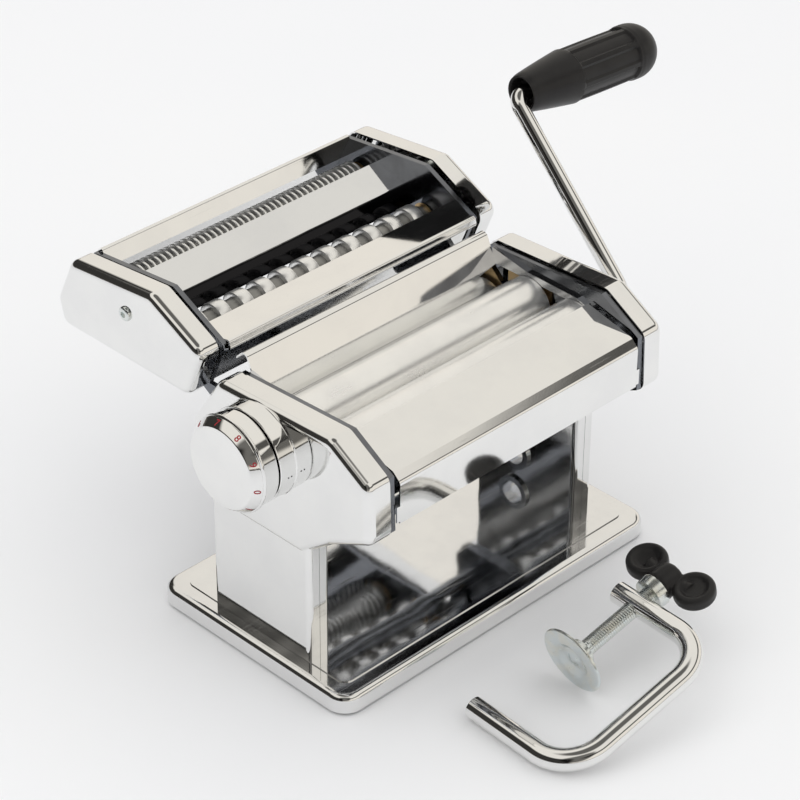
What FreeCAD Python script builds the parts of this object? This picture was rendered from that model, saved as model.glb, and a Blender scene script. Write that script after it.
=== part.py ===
import FreeCAD, Part
import math
import os

import Sketcher
from FreeCAD import Placement, Rotation, Vector

# Hand-cranked pasta machine with a two-width cutter attachment and its table clamp.
# X runs along the rollers toward the crank, Y to the rear (cutter side), Z up; the origin is
# the centre of the base plate's footprint at floor level.  All lengths are in millimetres.

SIZES = {
    # sheet rollers and their drive
    "roller_length": 150.0, "roller_radius": 13.5, "drive_y": -31.5, "drive_z": 113.5,
    "gap_open": 4.8, "gap_closed": 0.6, "setting_count": 10.0, "rest_setting": 7.0,
    "journal_radius": 8.0, "running_fit": 0.06, "bush_wall": 3.0, "end_play": 0.2,
    "gear_width": 6.0, "gear_teeth": 12.0, "gear_addendum": 2.5, "gear_dedendum": 2.8,
    "tooth_tip": 0.0471, "tooth_root": 0.1159, "square_side": 5.8, "square_fit": 0.1,
    "square_depth": 23.0, "block_front": 12.0, "block_rear": 2.0, "block_bottom": 2.7,
    "block_top": 1.5, "block_fit": 0.1, "bar_radius": 2.2, "bar_drop": 1.3, "bar_back": 8.0,
    # base plate and feet
    "base_margin": 8.6, "base_depth": 123.4, "base_height": 10.9, "base_corner": 10.0,
    "base_sheet": 1.0, "base_edge": 3.5, "foot_gap": 1.5, "foot_radius": 9.0, "foot_inset": 16.0,
    "plateau_margin": 9.0, "plateau_rise": 0.5,
    # legs: two nested channels per side, their tops a set drop below the roller axes
    "leg_width": 12.4, "leg_depth": 63.0, "leg_centre": 0.5, "leg_sheet": 1.2,
    "leg_seam": 0.2, "leg_drop": 21.5, "leg_round": 2.5, "leg_fit": 0.3,
    "socket_y": 7.0, "socket_z": 22.5, "socket_fit": 0.75, "socket_wall": 1.4,
    "socket_rim": 3.0, "socket_lip": 1.4,
    # body shells and frames
    "frame_sheet": 3.0, "cover_sheet": 0.7, "cover_round": 4.0, "cover_corner": 6.0,
    "cover_hang": 23.6, "plate_sheet": 0.8,
    # thickness regulator
    "scroll_start": 11.0, "scroll_radius": 19.5, "scroll_width": 3.5, "follower_radius": 2.0,
    "follower_fit": 0.15, "regulator_radius": 5.0, "knob_radius": 23.0,
    "collar_radius": 22.3, "knob_bevel": 1.8, "knob_wall": 3.0, "knob_cavity": 9.0,
    "head_radius": 7.0, "head_width": 2.0, "spring_wire": 0.45, "spring_turns": 3.5,
    "index_radius": 1.2, "index_circle": 15.0,
    # crank
    "crank_rod": 4.0, "crank_length": 107.0, "crank_angle": 43.7, "crank_bend": 8.0,
    "pin_bend": 6.0, "pin_length": 74.0, "pin_lean": 3.0, "grip_start": 4.6,
    "grip_length": 82.0, "grip_small": 9.0, "grip_large": 13.7, "grip_flare": 30.0,
    "grip_bore_fit": 0.1, "grip_recess": 7.4,
    # cutter attachment
    "cutter_plate": 2.5, "cutter_radius": 8.5, "cutter_bite": 0.9, "cutter_depth": 2.6,
    "cutter_journal": 4.9, "bush_spacing": 1.15, "cutter_set_back": 29.6, "wide_rise": 2.5,
    "thin_back": 19.4, "thin_rise": 4.6, "wide_pitch": 13.5, "wide_count": 11.0,
    "thin_pitch": 3.4, "thin_count": 44.0, "side_clearance": 0.12,
    "cutter_addendum": 1.05, "cutter_dedendum": 1.45, "cutter_tooth_tip": 0.0621,
    "cutter_tooth_root": 0.1242, "cutter_square": 5.6, "comb_gap": 2.0, "comb_sheet": 1.8,
    "comb_half": 5.0, "comb_tooth": 0.5, "comb_reach": 0.54, "screw_back": 16.2,
    "screw_rise": 12.5, "rail_back": 19.2, "rail_drop": 16.5, "rail_height": 16.0,
    "rail_fit": 0.1,
    # table clamp
    "clamp_rod": 5.25, "clamp_bend": 20.0, "clamp_arm": 59.6, "clamp_span": 87.9,
    "clamp_reach": 56.7, "clamp_x": -61.0, "clamp_y": -157.9, "clamp_heading": -3.1,
    "screw_offset": 44.6, "clamp_screw": 4.0, "foot_disc": 17.0, "foot_place": 45.5,
    "foot_rim": 1.6, "foot_hub": 6.6, "foot_hub_length": 8.0, "wing_start": 12.0,
    "wing_length": 13.0, "wing_hub": 7.5, "wing_reach": 17.0, "wing_lobe": 9.5,
    "wing_thick": 8.0,
}

# Faces and ends along X, each measured outward from the end of the sheet rollers.
STATIONS = {
    "frame_half": 5.0, "cover_near": 5.5, "cover_far": 18.3, "gear_near": 7.0,
    "drive_end": 24.0, "scroll_near": 6.0, "knob_near": 28.0, "knob_far": 42.3,
    "head_far": 39.0, "crank_reach": 35.0, "cutter_cover_near": 6.9,
    "cutter_cover_far": 18.5, "cutter_drive_end": 22.0,
}

document = FreeCAD.newDocument("PastaMachine")
NODES = []


class Size:
    """A length that carries the sheet expression driving it, so both are written once."""

    def __init__(self, value, text):
        self.value = float(value)
        self.text = text

    def __add__(self, other):
        other = size(other)
        return Size(self.value + other.value, f"({self.text} + {other.text})")

    def __sub__(self, other):
        other = size(other)
        return Size(self.value - other.value, f"({self.text} - {other.text})")

    def __mul__(self, factor):
        factor = size(factor)
        return Size(self.value * factor.value, f"({self.text} * {factor.text})")

    def __truediv__(self, divisor):
        divisor = size(divisor)
        return Size(self.value / divisor.value, f"({self.text} / {divisor.text})")

    def __neg__(self):
        return Size(-self.value, f"(0 - {self.text})")

    def __radd__(self, other):
        return size(other) + self

    def __rsub__(self, other):
        return size(other) - self

    def __rmul__(self, other):
        return size(other) * self


def size(item):
    """A plain number or a Size, as a Size."""
    return item if isinstance(item, Size) else Size(item, f"({item:.6f})")


def make_sheet():
    """The driving dimensions, one aliased plain number per row."""
    sheet = document.addObject("Spreadsheet::Sheet", "Sizes")
    rows = {**SIZES, **STATIONS}
    for row, (alias, number) in enumerate(rows.items(), start=1):
        sheet.set(f"A{row}", alias)
        sheet.set(f"B{row}", str(number))
        sheet.setAlias(f"B{row}", alias)
    document.recompute()
    table = {alias: Size(number, f"Sizes.{alias}") for alias, number in rows.items()}
    for alias in STATIONS:
        table[alias] = table["roller_length"] / 2 + table[alias]
    return table


S = make_sheet()


# ---------------------------------------------------------------- general building functions

def node(item, label):
    """Name an object as one finished piece of the machine."""
    item.Label = label
    NODES.append(item)
    return item


def bind(item, **sizes):
    """Drive an object's properties from the sheet; two underscores stand for a dot."""
    for name, amount in sizes.items():
        item.setExpression(name.replace("__", "."), size(amount).text)
    return item


def place(item, x=0, y=0, z=0, rotation=None):
    """Put an object at sheet-driven coordinates, with an optional fixed rotation."""
    if rotation is not None:
        item.Placement = Placement(Vector(0, 0, 0), rotation)
    return bind(item, Placement__Base__x=x, Placement__Base__y=y, Placement__Base__z=z)


def new_body(label):
    return document.addObject("PartDesign::Body", label)


def origin_plane(body, role):
    return next(item for item in body.Origin.OriginFeatures if item.Role == role)


def new_sketch(body, role, offset=0):
    """An empty sketch on one of the body's own origin planes, moved along its normal."""
    sketch = body.newObject("Sketcher::SketchObject", f"{body.Label}_sketch")
    sketch.AttachmentSupport = [(origin_plane(body, role), "")]
    sketch.MapMode = "FlatFace"
    bind(sketch, AttachmentOffset__Base__z=offset)
    return sketch


def pin_point(sketch, geometry, vertex, u, v):
    """Dimension one sketch point from the sketch origin, from the sheet."""
    for kind, axis, amount in (("DistanceX", -2, size(u)), ("DistanceY", -1, size(v))):
        if abs(amount.value) < 1e-9:
            sketch.addConstraint(Sketcher.Constraint("PointOnObject", geometry, vertex, axis))
            continue
        rule = Sketcher.Constraint(kind, -1, 1, geometry, vertex, amount.value)
        index = sketch.addConstraint(rule)
        sketch.setExpression(f"Constraints[{index}]", amount.text)


def draw_outline(sketch, points):
    """A closed outline of straight lines through sheet-driven corners."""
    corners = [Vector(size(u).value, size(v).value, 0) for u, v in points]
    first = sketch.GeometryCount
    count = len(corners)
    for index in range(count):
        sketch.addGeometry(Part.LineSegment(corners[index], corners[(index + 1) % count]), False)
    for index in range(count):
        following = first + (index + 1) % count
        sketch.addConstraint(Sketcher.Constraint("Coincident", first + index, 2, following, 1))
    for index, (u, v) in enumerate(points):
        pin_point(sketch, first + index, 1, u, v)


def draw_circle(sketch, u, v, radius):
    """A circle with a sheet-driven centre and radius."""
    centre = Vector(size(u).value, size(v).value, 0)
    curve = Part.Circle(centre, Vector(0, 0, 1), size(radius).value)
    index = sketch.addGeometry(curve, False)
    pin_point(sketch, index, 3, u, v)
    rule = sketch.addConstraint(Sketcher.Constraint("Radius", index, size(radius).value))
    sketch.setExpression(f"Constraints[{rule}]", size(radius).text)


def pad(body, sketch, length):
    """Raise a sketch along its normal."""
    feature = body.newObject("PartDesign::Pad", f"{body.Label}_pad")
    feature.Profile = sketch
    return bind(feature, Length=length)


def pocket_through(body, sketch):
    """Cut a sketch all the way through the body, both ways."""
    feature = body.newObject("PartDesign::Pocket", f"{body.Label}_pocket")
    feature.Profile = sketch
    feature.Type = "ThroughAll"
    feature.Midplane = True
    return feature


def pocket_down(body, sketch, depth):
    """Cut a sketch against its normal."""
    feature = body.newObject("PartDesign::Pocket", f"{body.Label}_pocket")
    feature.Profile = sketch
    return bind(feature, Length=depth)


def revolve(body, sketch, groove=False):
    """Turn a sketch a full turn about its horizontal axis."""
    kind = "PartDesign::Groove" if groove else "PartDesign::Revolution"
    feature = body.newObject(kind, f"{body.Label}_turned")
    feature.Profile = sketch
    feature.ReferenceAxis = (sketch, ["H_Axis"])
    feature.Angle = 360
    return feature


def pick_edges(feature, wanted):
    """Names of the feature's edges for which wanted(edge) holds."""
    edges = enumerate(feature.Shape.Edges, start=1)
    return [f"Edge{index}" for index, edge in edges if wanted(edge)]


def runs_along(edge, axis):
    """True for a straight edge parallel to a unit axis."""
    if not isinstance(edge.Curve, Part.Line):
        return False
    return abs(abs(edge.Curve.Direction.dot(axis)) - 1) < 1e-6


def round_edges(body, feature, radius, wanted):
    """Fillet the picked edges of the body's newest feature."""
    document.recompute()
    names = pick_edges(feature, wanted)
    fillet = body.newObject("PartDesign::Fillet", f"{body.Label}_round")
    fillet.Base = (feature, names)
    bind(fillet, Radius=radius)
    return fillet


def hollow(body, feature, wall, wanted_face):
    """Turn a solid into a shell of even wall, open at the picked face."""
    document.recompute()
    faces = enumerate(feature.Shape.Faces, start=1)
    names = [f"Face{index}" for index, face in faces if wanted_face(face)]
    shell = body.newObject("PartDesign::Thickness", f"{body.Label}_shell")
    shell.Base = (feature, names)
    shell.Reversed = True
    shell.Mode = "Skin"
    shell.Join = "Intersection"
    return bind(shell, Value=wall)


def rod_x(x, y, z, radius, length):
    """A round bar along +X from its left end."""
    bar = document.addObject("Part::Cylinder", "bar")
    place(bar, x, y, z, Rotation(Vector(0, 1, 0), 90))
    return bind(bar, Radius=radius, Height=length)


def ring_x(x, y, z, outer, inner, length):
    """A plain ring along +X."""
    ring = document.addObject("Part::Cut", "ring")
    ring.Base = rod_x(x, y, z, outer, length)
    ring.Tool = rod_x(x, y, z, inner, length)
    return ring


def group(items, label):
    """Several separate solids kept together as one piece list entry."""
    compound = document.addObject("Part::Compound", label)
    compound.Links = items
    return node(compound, label)


def span(side, near, far):
    """The lower X and the width of a layer between two distances from the middle."""
    near = size(near)
    far = size(far)
    return (near if side > 0 else -far), far - near


def plate_body(label, side, near, far, outline, holes=(), slots=()):
    """A flat plate in the YZ plane with round holes and straight-sided openings."""
    body = new_body(label)
    start, width = span(side, near, far)
    sketch = new_sketch(body, "YZ_Plane", start)
    draw_outline(sketch, outline)
    pad(body, sketch, width)
    for y, z, radius in holes:
        cut = new_sketch(body, "YZ_Plane", start)
        draw_circle(cut, y, z, radius)
        pocket_through(body, cut)
    for opening in slots:
        cut = new_sketch(body, "YZ_Plane", start)
        draw_outline(cut, opening)
        pocket_through(body, cut)
    return body


def turned_body(label, profile, y=0, z=0):
    """A round piece turned about a line parallel to X; the profile holds (x, radius)."""
    body = new_body(label)
    sketch = new_sketch(body, "XY_Plane")
    draw_outline(sketch, profile)
    revolve(body, sketch)
    place(body, 0, y, z)
    return body


def box_outline(low_u, high_u, low_v, high_v):
    return [(low_u, low_v), (high_u, low_v), (high_u, high_v), (low_u, high_v)]


def folded_outline(path, thickness):
    """The section of a folded sheet: the path is one face, the sheet lies to its right."""
    flat = [Vector(size(u).value, size(v).value, 0) for u, v in path]
    normals = []
    for start, end in zip(flat, flat[1:]):
        along = (end - start).normalize()
        normals.append(Vector(along.y, -along.x, 0))
    inner = []
    for index, (u, v) in enumerate(path):
        before = normals[max(index - 1, 0)]
        after = normals[min(index, len(normals) - 1)]
        mitre = (before + after) * (1 / (1 + before.dot(after)))
        inner.append((u + thickness * mitre.x, v + thickness * mitre.y))
    return list(path) + inner[::-1]


def folded_body(label, path, thickness, half, bend):
    """A sheet folded along X, reaching the same distance to both sides, with round folds."""
    body = new_body(label)
    sketch = new_sketch(body, "YZ_Plane", -half)
    draw_outline(sketch, folded_outline(path, thickness))
    feature = pad(body, sketch, half * 2)
    inner_bend = bend + thickness
    count = len(path)
    section = folded_outline(path, thickness)
    for index in range(1, count - 1):
        before, corner, after = (Vector(size(u).value, size(v).value, 0)
                                 for u, v in path[index - 1:index + 2])
        turn = (corner - before).cross(after - corner).z
        outer_radius, inner_radius = (inner_bend, bend) if turn < 0 else (bend, inner_bend)
        places = ((section[index], outer_radius), (section[2 * count - 1 - index], inner_radius))
        for (u, v), radius in places:
            spot = (size(u).value, size(v).value)
            feature = round_edges(body, feature, radius, lambda edge: near_line(edge, spot))
    return body


def near_line(edge, spot):
    """True for an edge along X that passes through a (y, z) spot."""
    if not runs_along(edge, Vector(1, 0, 0)):
        return False
    centre = edge.CenterOfMass
    return math.hypot(centre.y - spot[0], centre.z - spot[1]) < 1e-3


# ---------------------------------------------------------------- derived places

DRIVE_Y = S["drive_y"]
DRIVE_Z = S["drive_z"]
GAP_STEP = (S["gap_open"] - S["gap_closed"]) / (S["setting_count"] - 1)
GAP_REST = S["gap_open"] - GAP_STEP * S["rest_setting"]
REAR_Y = DRIVE_Y + S["roller_radius"] * 2 + GAP_REST
OPENING = S["gap_open"] - GAP_REST
CLOSING = GAP_REST - S["gap_closed"]
FRAME_IN = S["frame_half"] - S["frame_sheet"]
ROLLER_HALF = S["roller_length"] / 2
GUIDE_IN = ROLLER_HALF + S["end_play"]
SHEET_TOP = S["base_height"] - S["plateau_rise"]
CUTTER_IN = FRAME_IN
CUTTER_OUT = CUTTER_IN + S["cutter_plate"]
COVER_SKIN = S["cover_far"] - S["cover_sheet"]
BOTH_SIDES = ((-1, "left"), (1, "right"))

LEG_FRONT = S["leg_centre"] - S["leg_depth"] / 2
LEG_BACK = S["leg_centre"] + S["leg_depth"] / 2
LEG_TOP = DRIVE_Z - S["leg_drop"]
COVER_LOW = LEG_TOP - S["cover_hang"]
BASE_HALF = S["frame_half"] + S["leg_width"] + S["base_margin"]
SOCKET_BORE = S["clamp_rod"] + S["socket_fit"]
BUSH_RADIUS = S["journal_radius"] + S["bush_wall"]
BAR_DROP = S["roller_radius"] + S["bar_drop"]
BLOCK_BACK = REAR_Y + S["roller_radius"] + S["block_rear"]
BLOCK_LOW = DRIVE_Z - BAR_DROP - S["block_bottom"]
BLOCK_HIGH = DRIVE_Z + S["roller_radius"] - S["block_top"]
GEAR_MEET = S["roller_radius"] + S["gap_closed"] / 2


def front(gap):
    """Y at a distance in front of the driven roller."""
    return DRIVE_Y - S["roller_radius"] - gap


def behind(gap):
    """Y at a distance behind the rear roller in its widest setting."""
    return DRIVE_Y + S["roller_radius"] * 3 + S["gap_open"] + gap


def above(gap):
    """Z at a distance above the rollers."""
    return DRIVE_Z + S["roller_radius"] + gap


def below(gap):
    """Z at a distance below the rollers."""
    return DRIVE_Z - S["roller_radius"] - gap


RAIL_Y = behind(S["rail_back"])
RAIL_LOW = DRIVE_Z - S["rail_drop"]
CUTTER_R = S["cutter_radius"]
CUTTER_START = behind(S["cutter_set_back"])
CUTTER_PAIR = CUTTER_R * 2 - S["cutter_bite"]
WIDE_FRONT_Y = CUTTER_START + CUTTER_R
WIDE_Y = WIDE_FRONT_Y + CUTTER_PAIR
WIDE_Z = above(S["wide_rise"])
THIN_FRONT_Y = WIDE_Y + CUTTER_R + S["thin_back"]
THIN_Y = THIN_FRONT_Y + CUTTER_PAIR
THIN_Z = WIDE_Z + S["thin_rise"]
WIDE_TOP = WIDE_Z + CUTTER_R
THIN_TOP = THIN_Z + CUTTER_R
THIN_BACK = THIN_Y + CUTTER_R
COMB_TOP = WIDE_Z - CUTTER_R - S["comb_gap"]
COMB_BOTTOM = COMB_TOP - S["comb_sheet"]
SCREW_Y = WIDE_Y + S["screw_back"]
SCREW_Z = WIDE_Z + S["screw_rise"]

COVER_OUTLINE = [(behind(11.4), above(6.8)), (front(0), above(10)), (front(23.5), above(-4)),
                 (front(24.5), below(5.8)), (front(-0.4), below(18)),
                 (LEG_FRONT + 4, COVER_LOW), (LEG_BACK + 4, COVER_LOW),
                 (LEG_BACK + 11, COVER_LOW + 7), (LEG_BACK + 11, above(-21))]
FRAME_OUTLINE = [(behind(10.5), above(5.6)), (front(-0.2), above(8.8)),
                 (front(22.4), above(-4.7)), (front(23.4), below(5.1)),
                 (front(-1), below(17)), (LEG_FRONT + 4.4, COVER_LOW + 1.2),
                 (LEG_BACK + 3.5, COVER_LOW + 1.2), (LEG_BACK + 9.8, COVER_LOW + 7.5),
                 (LEG_BACK + 9.8, RAIL_LOW - 2), (RAIL_Y, RAIL_LOW - 2), (RAIL_Y, above(-8.2))]
CUTTER_OUTLINE = [(THIN_BACK + 2.1, THIN_TOP + 10.1), (WIDE_Y - 0.6, WIDE_TOP + 20.5),
                  (CUTTER_START - 9.2, WIDE_TOP + 4.1), (CUTTER_START + 1.3, COMB_BOTTOM - 1.2),
                  (THIN_BACK + 9.8, COMB_BOTTOM - 1.2), (THIN_BACK + 13, THIN_Z - 4.7)]
CUTTER_PLATE_OUTLINE = [(THIN_BACK + 1.3, THIN_TOP + 8.8), (WIDE_Y - 0.4, WIDE_TOP + 19.1),
                        (CUTTER_START - 7.6, WIDE_TOP + 3.4),
                        (CUTTER_START + 2.2, COMB_BOTTOM - 0.2),
                        (RAIL_Y + 3, COMB_BOTTOM - 0.2), (RAIL_Y + 3, RAIL_LOW + 1),
                        (RAIL_Y + 10.8, RAIL_LOW + 1), (RAIL_Y + 10.8, COMB_BOTTOM - 7.2),
                        (CUTTER_START + 11.6, COMB_BOTTOM - 0.2),
                        (THIN_BACK + 8.9, COMB_BOTTOM - 0.2), (THIN_BACK + 11.7, THIN_Z - 4.9)]


# ---------------------------------------------------------------- base and legs

def make_base():
    """Pressed tray with a rounded rim, a slightly raised middle and four rubber feet."""
    body = new_body("base_plate")
    half_x = BASE_HALF
    half_y = S["base_depth"] / 2
    sketch = new_sketch(body, "XY_Plane", S["foot_gap"])
    draw_outline(sketch, box_outline(-half_x, half_x, -half_y, half_y))
    blank = pad(body, sketch, SHEET_TOP - S["foot_gap"])
    corners = round_edges(body, blank, S["base_corner"],
                          lambda edge: runs_along(edge, Vector(0, 0, 1)))
    rim = round_edges(body, corners, S["base_edge"],
                      lambda edge: edge.BoundBox.ZMin > SHEET_TOP.value - 1e-3)
    hollow(body, rim, S["base_sheet"],
           lambda face: face.BoundBox.ZMax < S["foot_gap"].value + 1e-3)
    inset = S["plateau_margin"]
    raised = new_sketch(body, "XY_Plane", SHEET_TOP)
    draw_outline(raised, box_outline(inset - half_x, half_x - inset, inset - half_y, half_y - inset))
    plateau = pad(body, raised, S["plateau_rise"])
    top = S["base_height"].value
    round_edges(body, plateau, S["base_corner"] / 2,
                lambda edge: runs_along(edge, Vector(0, 0, 1)) and edge.BoundBox.ZMax > top - 1e-3)
    node(body, "base_plate")
    feet = []
    for side_x in (-1, 1):
        for side_y in (-1, 1):
            foot = document.addObject("Part::Cylinder", "foot")
            place(foot, (half_x - S["foot_inset"]) * side_x, (half_y - S["foot_inset"]) * side_y)
            feet.append(bind(foot, Radius=S["foot_radius"], Height=SHEET_TOP - S["base_sheet"]))
    group(feet, "base_feet")


def channel_outline(web, open_end, half_depth, sheet):
    """A channel section: web at one distance from the middle, flanges toward the other."""
    middle = S["leg_centre"]
    inward = sheet if open_end.value > web.value else -sheet
    return [(web, middle - half_depth), (open_end, middle - half_depth),
            (open_end, middle - half_depth + sheet), (web + inward, middle - half_depth + sheet),
            (web + inward, middle + half_depth - sheet), (open_end, middle + half_depth - sheet),
            (open_end, middle + half_depth), (web, middle + half_depth)]


def make_leg(side, name):
    """One leg: an outer and an inner channel whose flanges face each other over a seam."""
    half = S["leg_depth"] / 2
    seam = S["frame_half"] + S["leg_width"] / 2
    outer_web = S["frame_half"] + S["leg_width"]
    shells = (("outer", outer_web, seam + S["leg_seam"] / 2),
              ("inner", S["frame_half"], seam - S["leg_seam"] / 2))
    for kind, web, lip in shells:
        label = f"{name}_leg_{kind}"
        body = new_body(label)
        sketch = new_sketch(body, "XY_Plane", S["base_height"])
        draw_outline(sketch, channel_outline(web * side, lip * side, half, S["leg_sheet"]))
        post = pad(body, sketch, LEG_TOP - S["base_height"])
        place_x = web.value * side
        round_edges(body, post, S["leg_round"],
                    lambda edge: runs_along(edge, Vector(0, 0, 1))
                    and abs(edge.CenterOfMass.x - place_x) < 1e-3)
        if side > 0:
            cut = new_sketch(body, "YZ_Plane")
            draw_circle(cut, S["socket_y"], S["socket_z"], (SOCKET_BORE + S["socket_wall"]))
            pocket_through(body, cut)
        node(body, label)


def make_clamp_socket():
    """Collar that lines the hole for the clamp's arm through the right leg."""
    near = S["frame_half"]
    lip = near - S["socket_lip"]
    far = near + S["leg_width"]
    barrel = SOCKET_BORE + S["socket_wall"]
    flange = SOCKET_BORE + S["socket_rim"]
    profile = [(lip, SOCKET_BORE), (lip, flange), (near, flange), (near, barrel),
               (far, barrel), (far, SOCKET_BORE)]
    node(turned_body("clamp_socket", profile, S["socket_y"], S["socket_z"]), "clamp_socket")


# ---------------------------------------------------------------- machine body

def cover_body(label, side, near, far, outline, holes, rounding):
    """A deep-drawn side cover: an extruded outline, rounded, hollow and open to the middle."""
    body = new_body(label)
    start, width = span(side, near, far)
    sketch = new_sketch(body, "YZ_Plane", start)
    draw_outline(sketch, outline)
    blank = pad(body, sketch, width)
    corners = round_edges(body, blank, rounding, lambda edge: runs_along(edge, Vector(1, 0, 0)))
    outside = far.value * side
    face = round_edges(body, corners, S["cover_round"],
                       lambda edge: abs(edge.CenterOfMass.x - outside) < 1e-3)
    inside = near.value * side
    hollow(body, face, S["cover_sheet"],
           lambda face: abs(face.BoundBox.XMin - inside) + abs(face.BoundBox.XMax - inside) < 1e-3)
    for y, z, radius in holes:
        cut = new_sketch(body, "YZ_Plane", start)
        draw_circle(cut, y, z, radius)
        pocket_through(body, cut)
    return body


def make_machine_covers():
    """The two chromed side covers, with their leg openings."""
    for side, name in BOTH_SIDES:
        hole = (REAR_Y, DRIVE_Z, 8.0) if side < 0 else (DRIVE_Y, DRIVE_Z, S["journal_radius"] + 2)
        label = f"{name}_cover"
        body = cover_body(label, side, S["cover_near"], S["cover_far"], COVER_OUTLINE, [hole],
                          S["cover_corner"])
        half = S["leg_depth"] / 2 + S["leg_fit"]
        start, width = span(side, S["cover_near"] - 1, COVER_SKIN)
        cut = new_sketch(body, "YZ_Plane", start + width)
        draw_outline(cut, box_outline(S["leg_centre"] - half, S["leg_centre"] + half,
                                      COVER_LOW - 8.4, COVER_LOW + 16.6))
        pocket_down(body, cut, width)
        node(body, label)


def make_frames():
    """Side frames with the drive bush hole and the slot for the sliding bearing block."""
    for side, name in BOTH_SIDES:
        slot = box_outline(REAR_Y - S["block_front"] - CLOSING - S["block_fit"],
                           BLOCK_BACK + OPENING + S["block_fit"],
                           BLOCK_LOW - S["block_fit"],
                           BLOCK_HIGH + S["block_fit"])
        body = plate_body(f"{name}_side_frame", side, FRAME_IN, S["frame_half"], FRAME_OUTLINE,
                          [(DRIVE_Y, DRIVE_Z, BUSH_RADIUS)], [slot])
        node(body, f"{name}_side_frame")


def make_guides():
    """The two dough guides above the roller ends."""
    outline = [(behind(7.7), above(6)), (behind(-14.5), above(2)), (DRIVE_Y - 0.5, above(1.5)),
               (DRIVE_Y - 5.5, above(-0.2)), (DRIVE_Y - 5.5, above(-1.8)),
               (behind(6.7), above(-1.8))]
    guides = [plate_body("guide", side, GUIDE_IN, FRAME_IN, outline) for side, _ in BOTH_SIDES]
    group(guides, "dough_guides")


def make_hopper_plates():
    """Front plate with its apron, and rear plate with a rolled top; tabs reach the frames."""
    sheet = S["plate_sheet"]
    apron = front(24.3)
    plate = folded_body("front_hopper_plate",
                        [(apron, below(2)), (apron, above(-8.4)), (front(20), above(-4.4)),
                         (front(-6.5), above(1.8))],
                        sheet, GUIDE_IN, size(2.2))
    add_tabs(plate, box_outline(apron, apron + sheet, below(1), DRIVE_Z - 6.5))
    node(plate, "front_hopper_plate")
    rear = folded_body("rear_hopper_plate", [(behind(1), DRIVE_Z + 2.5),
                                             (behind(12.35), above(14.2)),
                                             (behind(18.8), above(7.9))],
                       sheet, GUIDE_IN, size(2.0))
    tab = [(behind(1.45), DRIVE_Z + 3.5), (behind(4.15), DRIVE_Z + 9.5)]
    add_tabs(rear, folded_outline(tab, sheet))
    node(rear, "rear_hopper_plate")


def add_tabs(body, outline):
    """Carry a short length of a hopper plate out to both side frames."""
    sketch = new_sketch(body, "YZ_Plane", -FRAME_IN)
    draw_outline(sketch, outline)
    pad(body, sketch, FRAME_IN * 2)


def make_inner_parts():
    """Tie rods riveted between the frames, roller scrapers, cover standoffs and bushes."""
    rods = []
    for y, z in ((front(7), below(8.5)), (LEG_BACK - 7, COVER_LOW + 9.6),
                 (LEG_FRONT + 11, COVER_LOW + 7.6), (behind(14.2), DRIVE_Z - 9.5)):
        rods.append(rod_x(-FRAME_IN, y, z, 3.5, FRAME_IN * 2))
    group(rods, "tie_rods")
    reach = S["roller_radius"] + 0.58
    tip_y, tip_z = DRIVE_Y - reach * 0.689, DRIVE_Z - reach * 0.7244
    back = S["roller_radius"] + 0.98
    end_y, end_z = REAR_Y + OPENING + back * 0.6422, DRIVE_Z - back * 0.7666
    for label, path in (("front_scraper", [(tip_y, tip_z), (tip_y - 10.8, tip_z - 5.8)]),
                        ("rear_scraper", [(end_y + 11.4, end_z - 6.8), (end_y, end_z)])):
        node(folded_body(label, path, S["plate_sheet"], FRAME_IN, size(1.0)), label)
    posts = []
    for side, _ in BOTH_SIDES:
        start, width = span(side, S["frame_half"], COVER_SKIN)
        spots = ((front(13), DRIVE_Z - 5.5), (LEG_BACK + 4, COVER_LOW + 17.6))
        posts += [rod_x(start, y, z, 3.0, width) for y, z in spots]
    group(posts, "cover_standoffs")
    bushes = []
    bore = S["journal_radius"] + S["running_fit"]
    for side, _ in BOTH_SIDES:
        start, width = span(side, FRAME_IN, S["frame_half"])
        bushes.append(ring_x(start, DRIVE_Y, DRIVE_Z, BUSH_RADIUS, bore, width))
    group(bushes, "roller_bushes")
    rails = []
    for side, _ in BOTH_SIDES:
        rails.append(rail_body(side))
    group(rails, "mounting_rails")


def rail_body(side):
    """Upright channel behind a side frame that takes the cutter attachment's tongue."""
    body = new_body("rail")
    fit = S["rail_fit"]
    tongue_in = (CUTTER_IN - fit) * side
    tongue_out = (CUTTER_OUT + fit) * side
    near = (CUTTER_IN - 1.5) * side
    far = (S["cover_near"] - fit) * side
    floor = RAIL_Y + 2.8
    lip = RAIL_Y + 11
    sketch = new_sketch(body, "XY_Plane", RAIL_LOW)
    draw_outline(sketch, [(near, RAIL_Y), (near, lip), (tongue_in, lip), (tongue_in, floor),
                          (tongue_out, floor), (tongue_out, lip), (far, lip), (far, RAIL_Y)])
    pad(body, sketch, S["rail_height"])
    return body


# ---------------------------------------------------------------- sheet rollers and drive

def gear_body(label, y, z, teeth, tip, root, half_tip, half_root, bore, near, width, turn=0.0):
    """A spur gear with tall straight teeth, bored to sit on a shaft along X."""
    body = new_body(label)
    disc = new_sketch(body, "YZ_Plane", near)
    draw_circle(disc, 0, 0, root)
    pad(body, disc, width)
    profile = new_sketch(body, "YZ_Plane", near)
    foot = root - 1.0
    draw_outline(profile, [(foot, -half_root), (tip, -half_tip), (tip, half_tip), (foot, half_root)])
    tooth = pad(body, profile, width)
    document.recompute()
    pattern = body.newObject("PartDesign::PolarPattern", f"{label}_teeth")
    pattern.Originals = [tooth]
    pattern.Axis = (profile, ["N_Axis"])
    pattern.Angle = 360
    bind(pattern, Occurrences=teeth)
    body.Tip = pattern
    hole = new_sketch(body, "YZ_Plane", near)
    draw_circle(hole, 0, 0, bore)
    pocket_through(body, hole)
    place(body, 0, y, z, Rotation(Vector(1, 0, 0), turn))
    return node(body, label)


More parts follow.
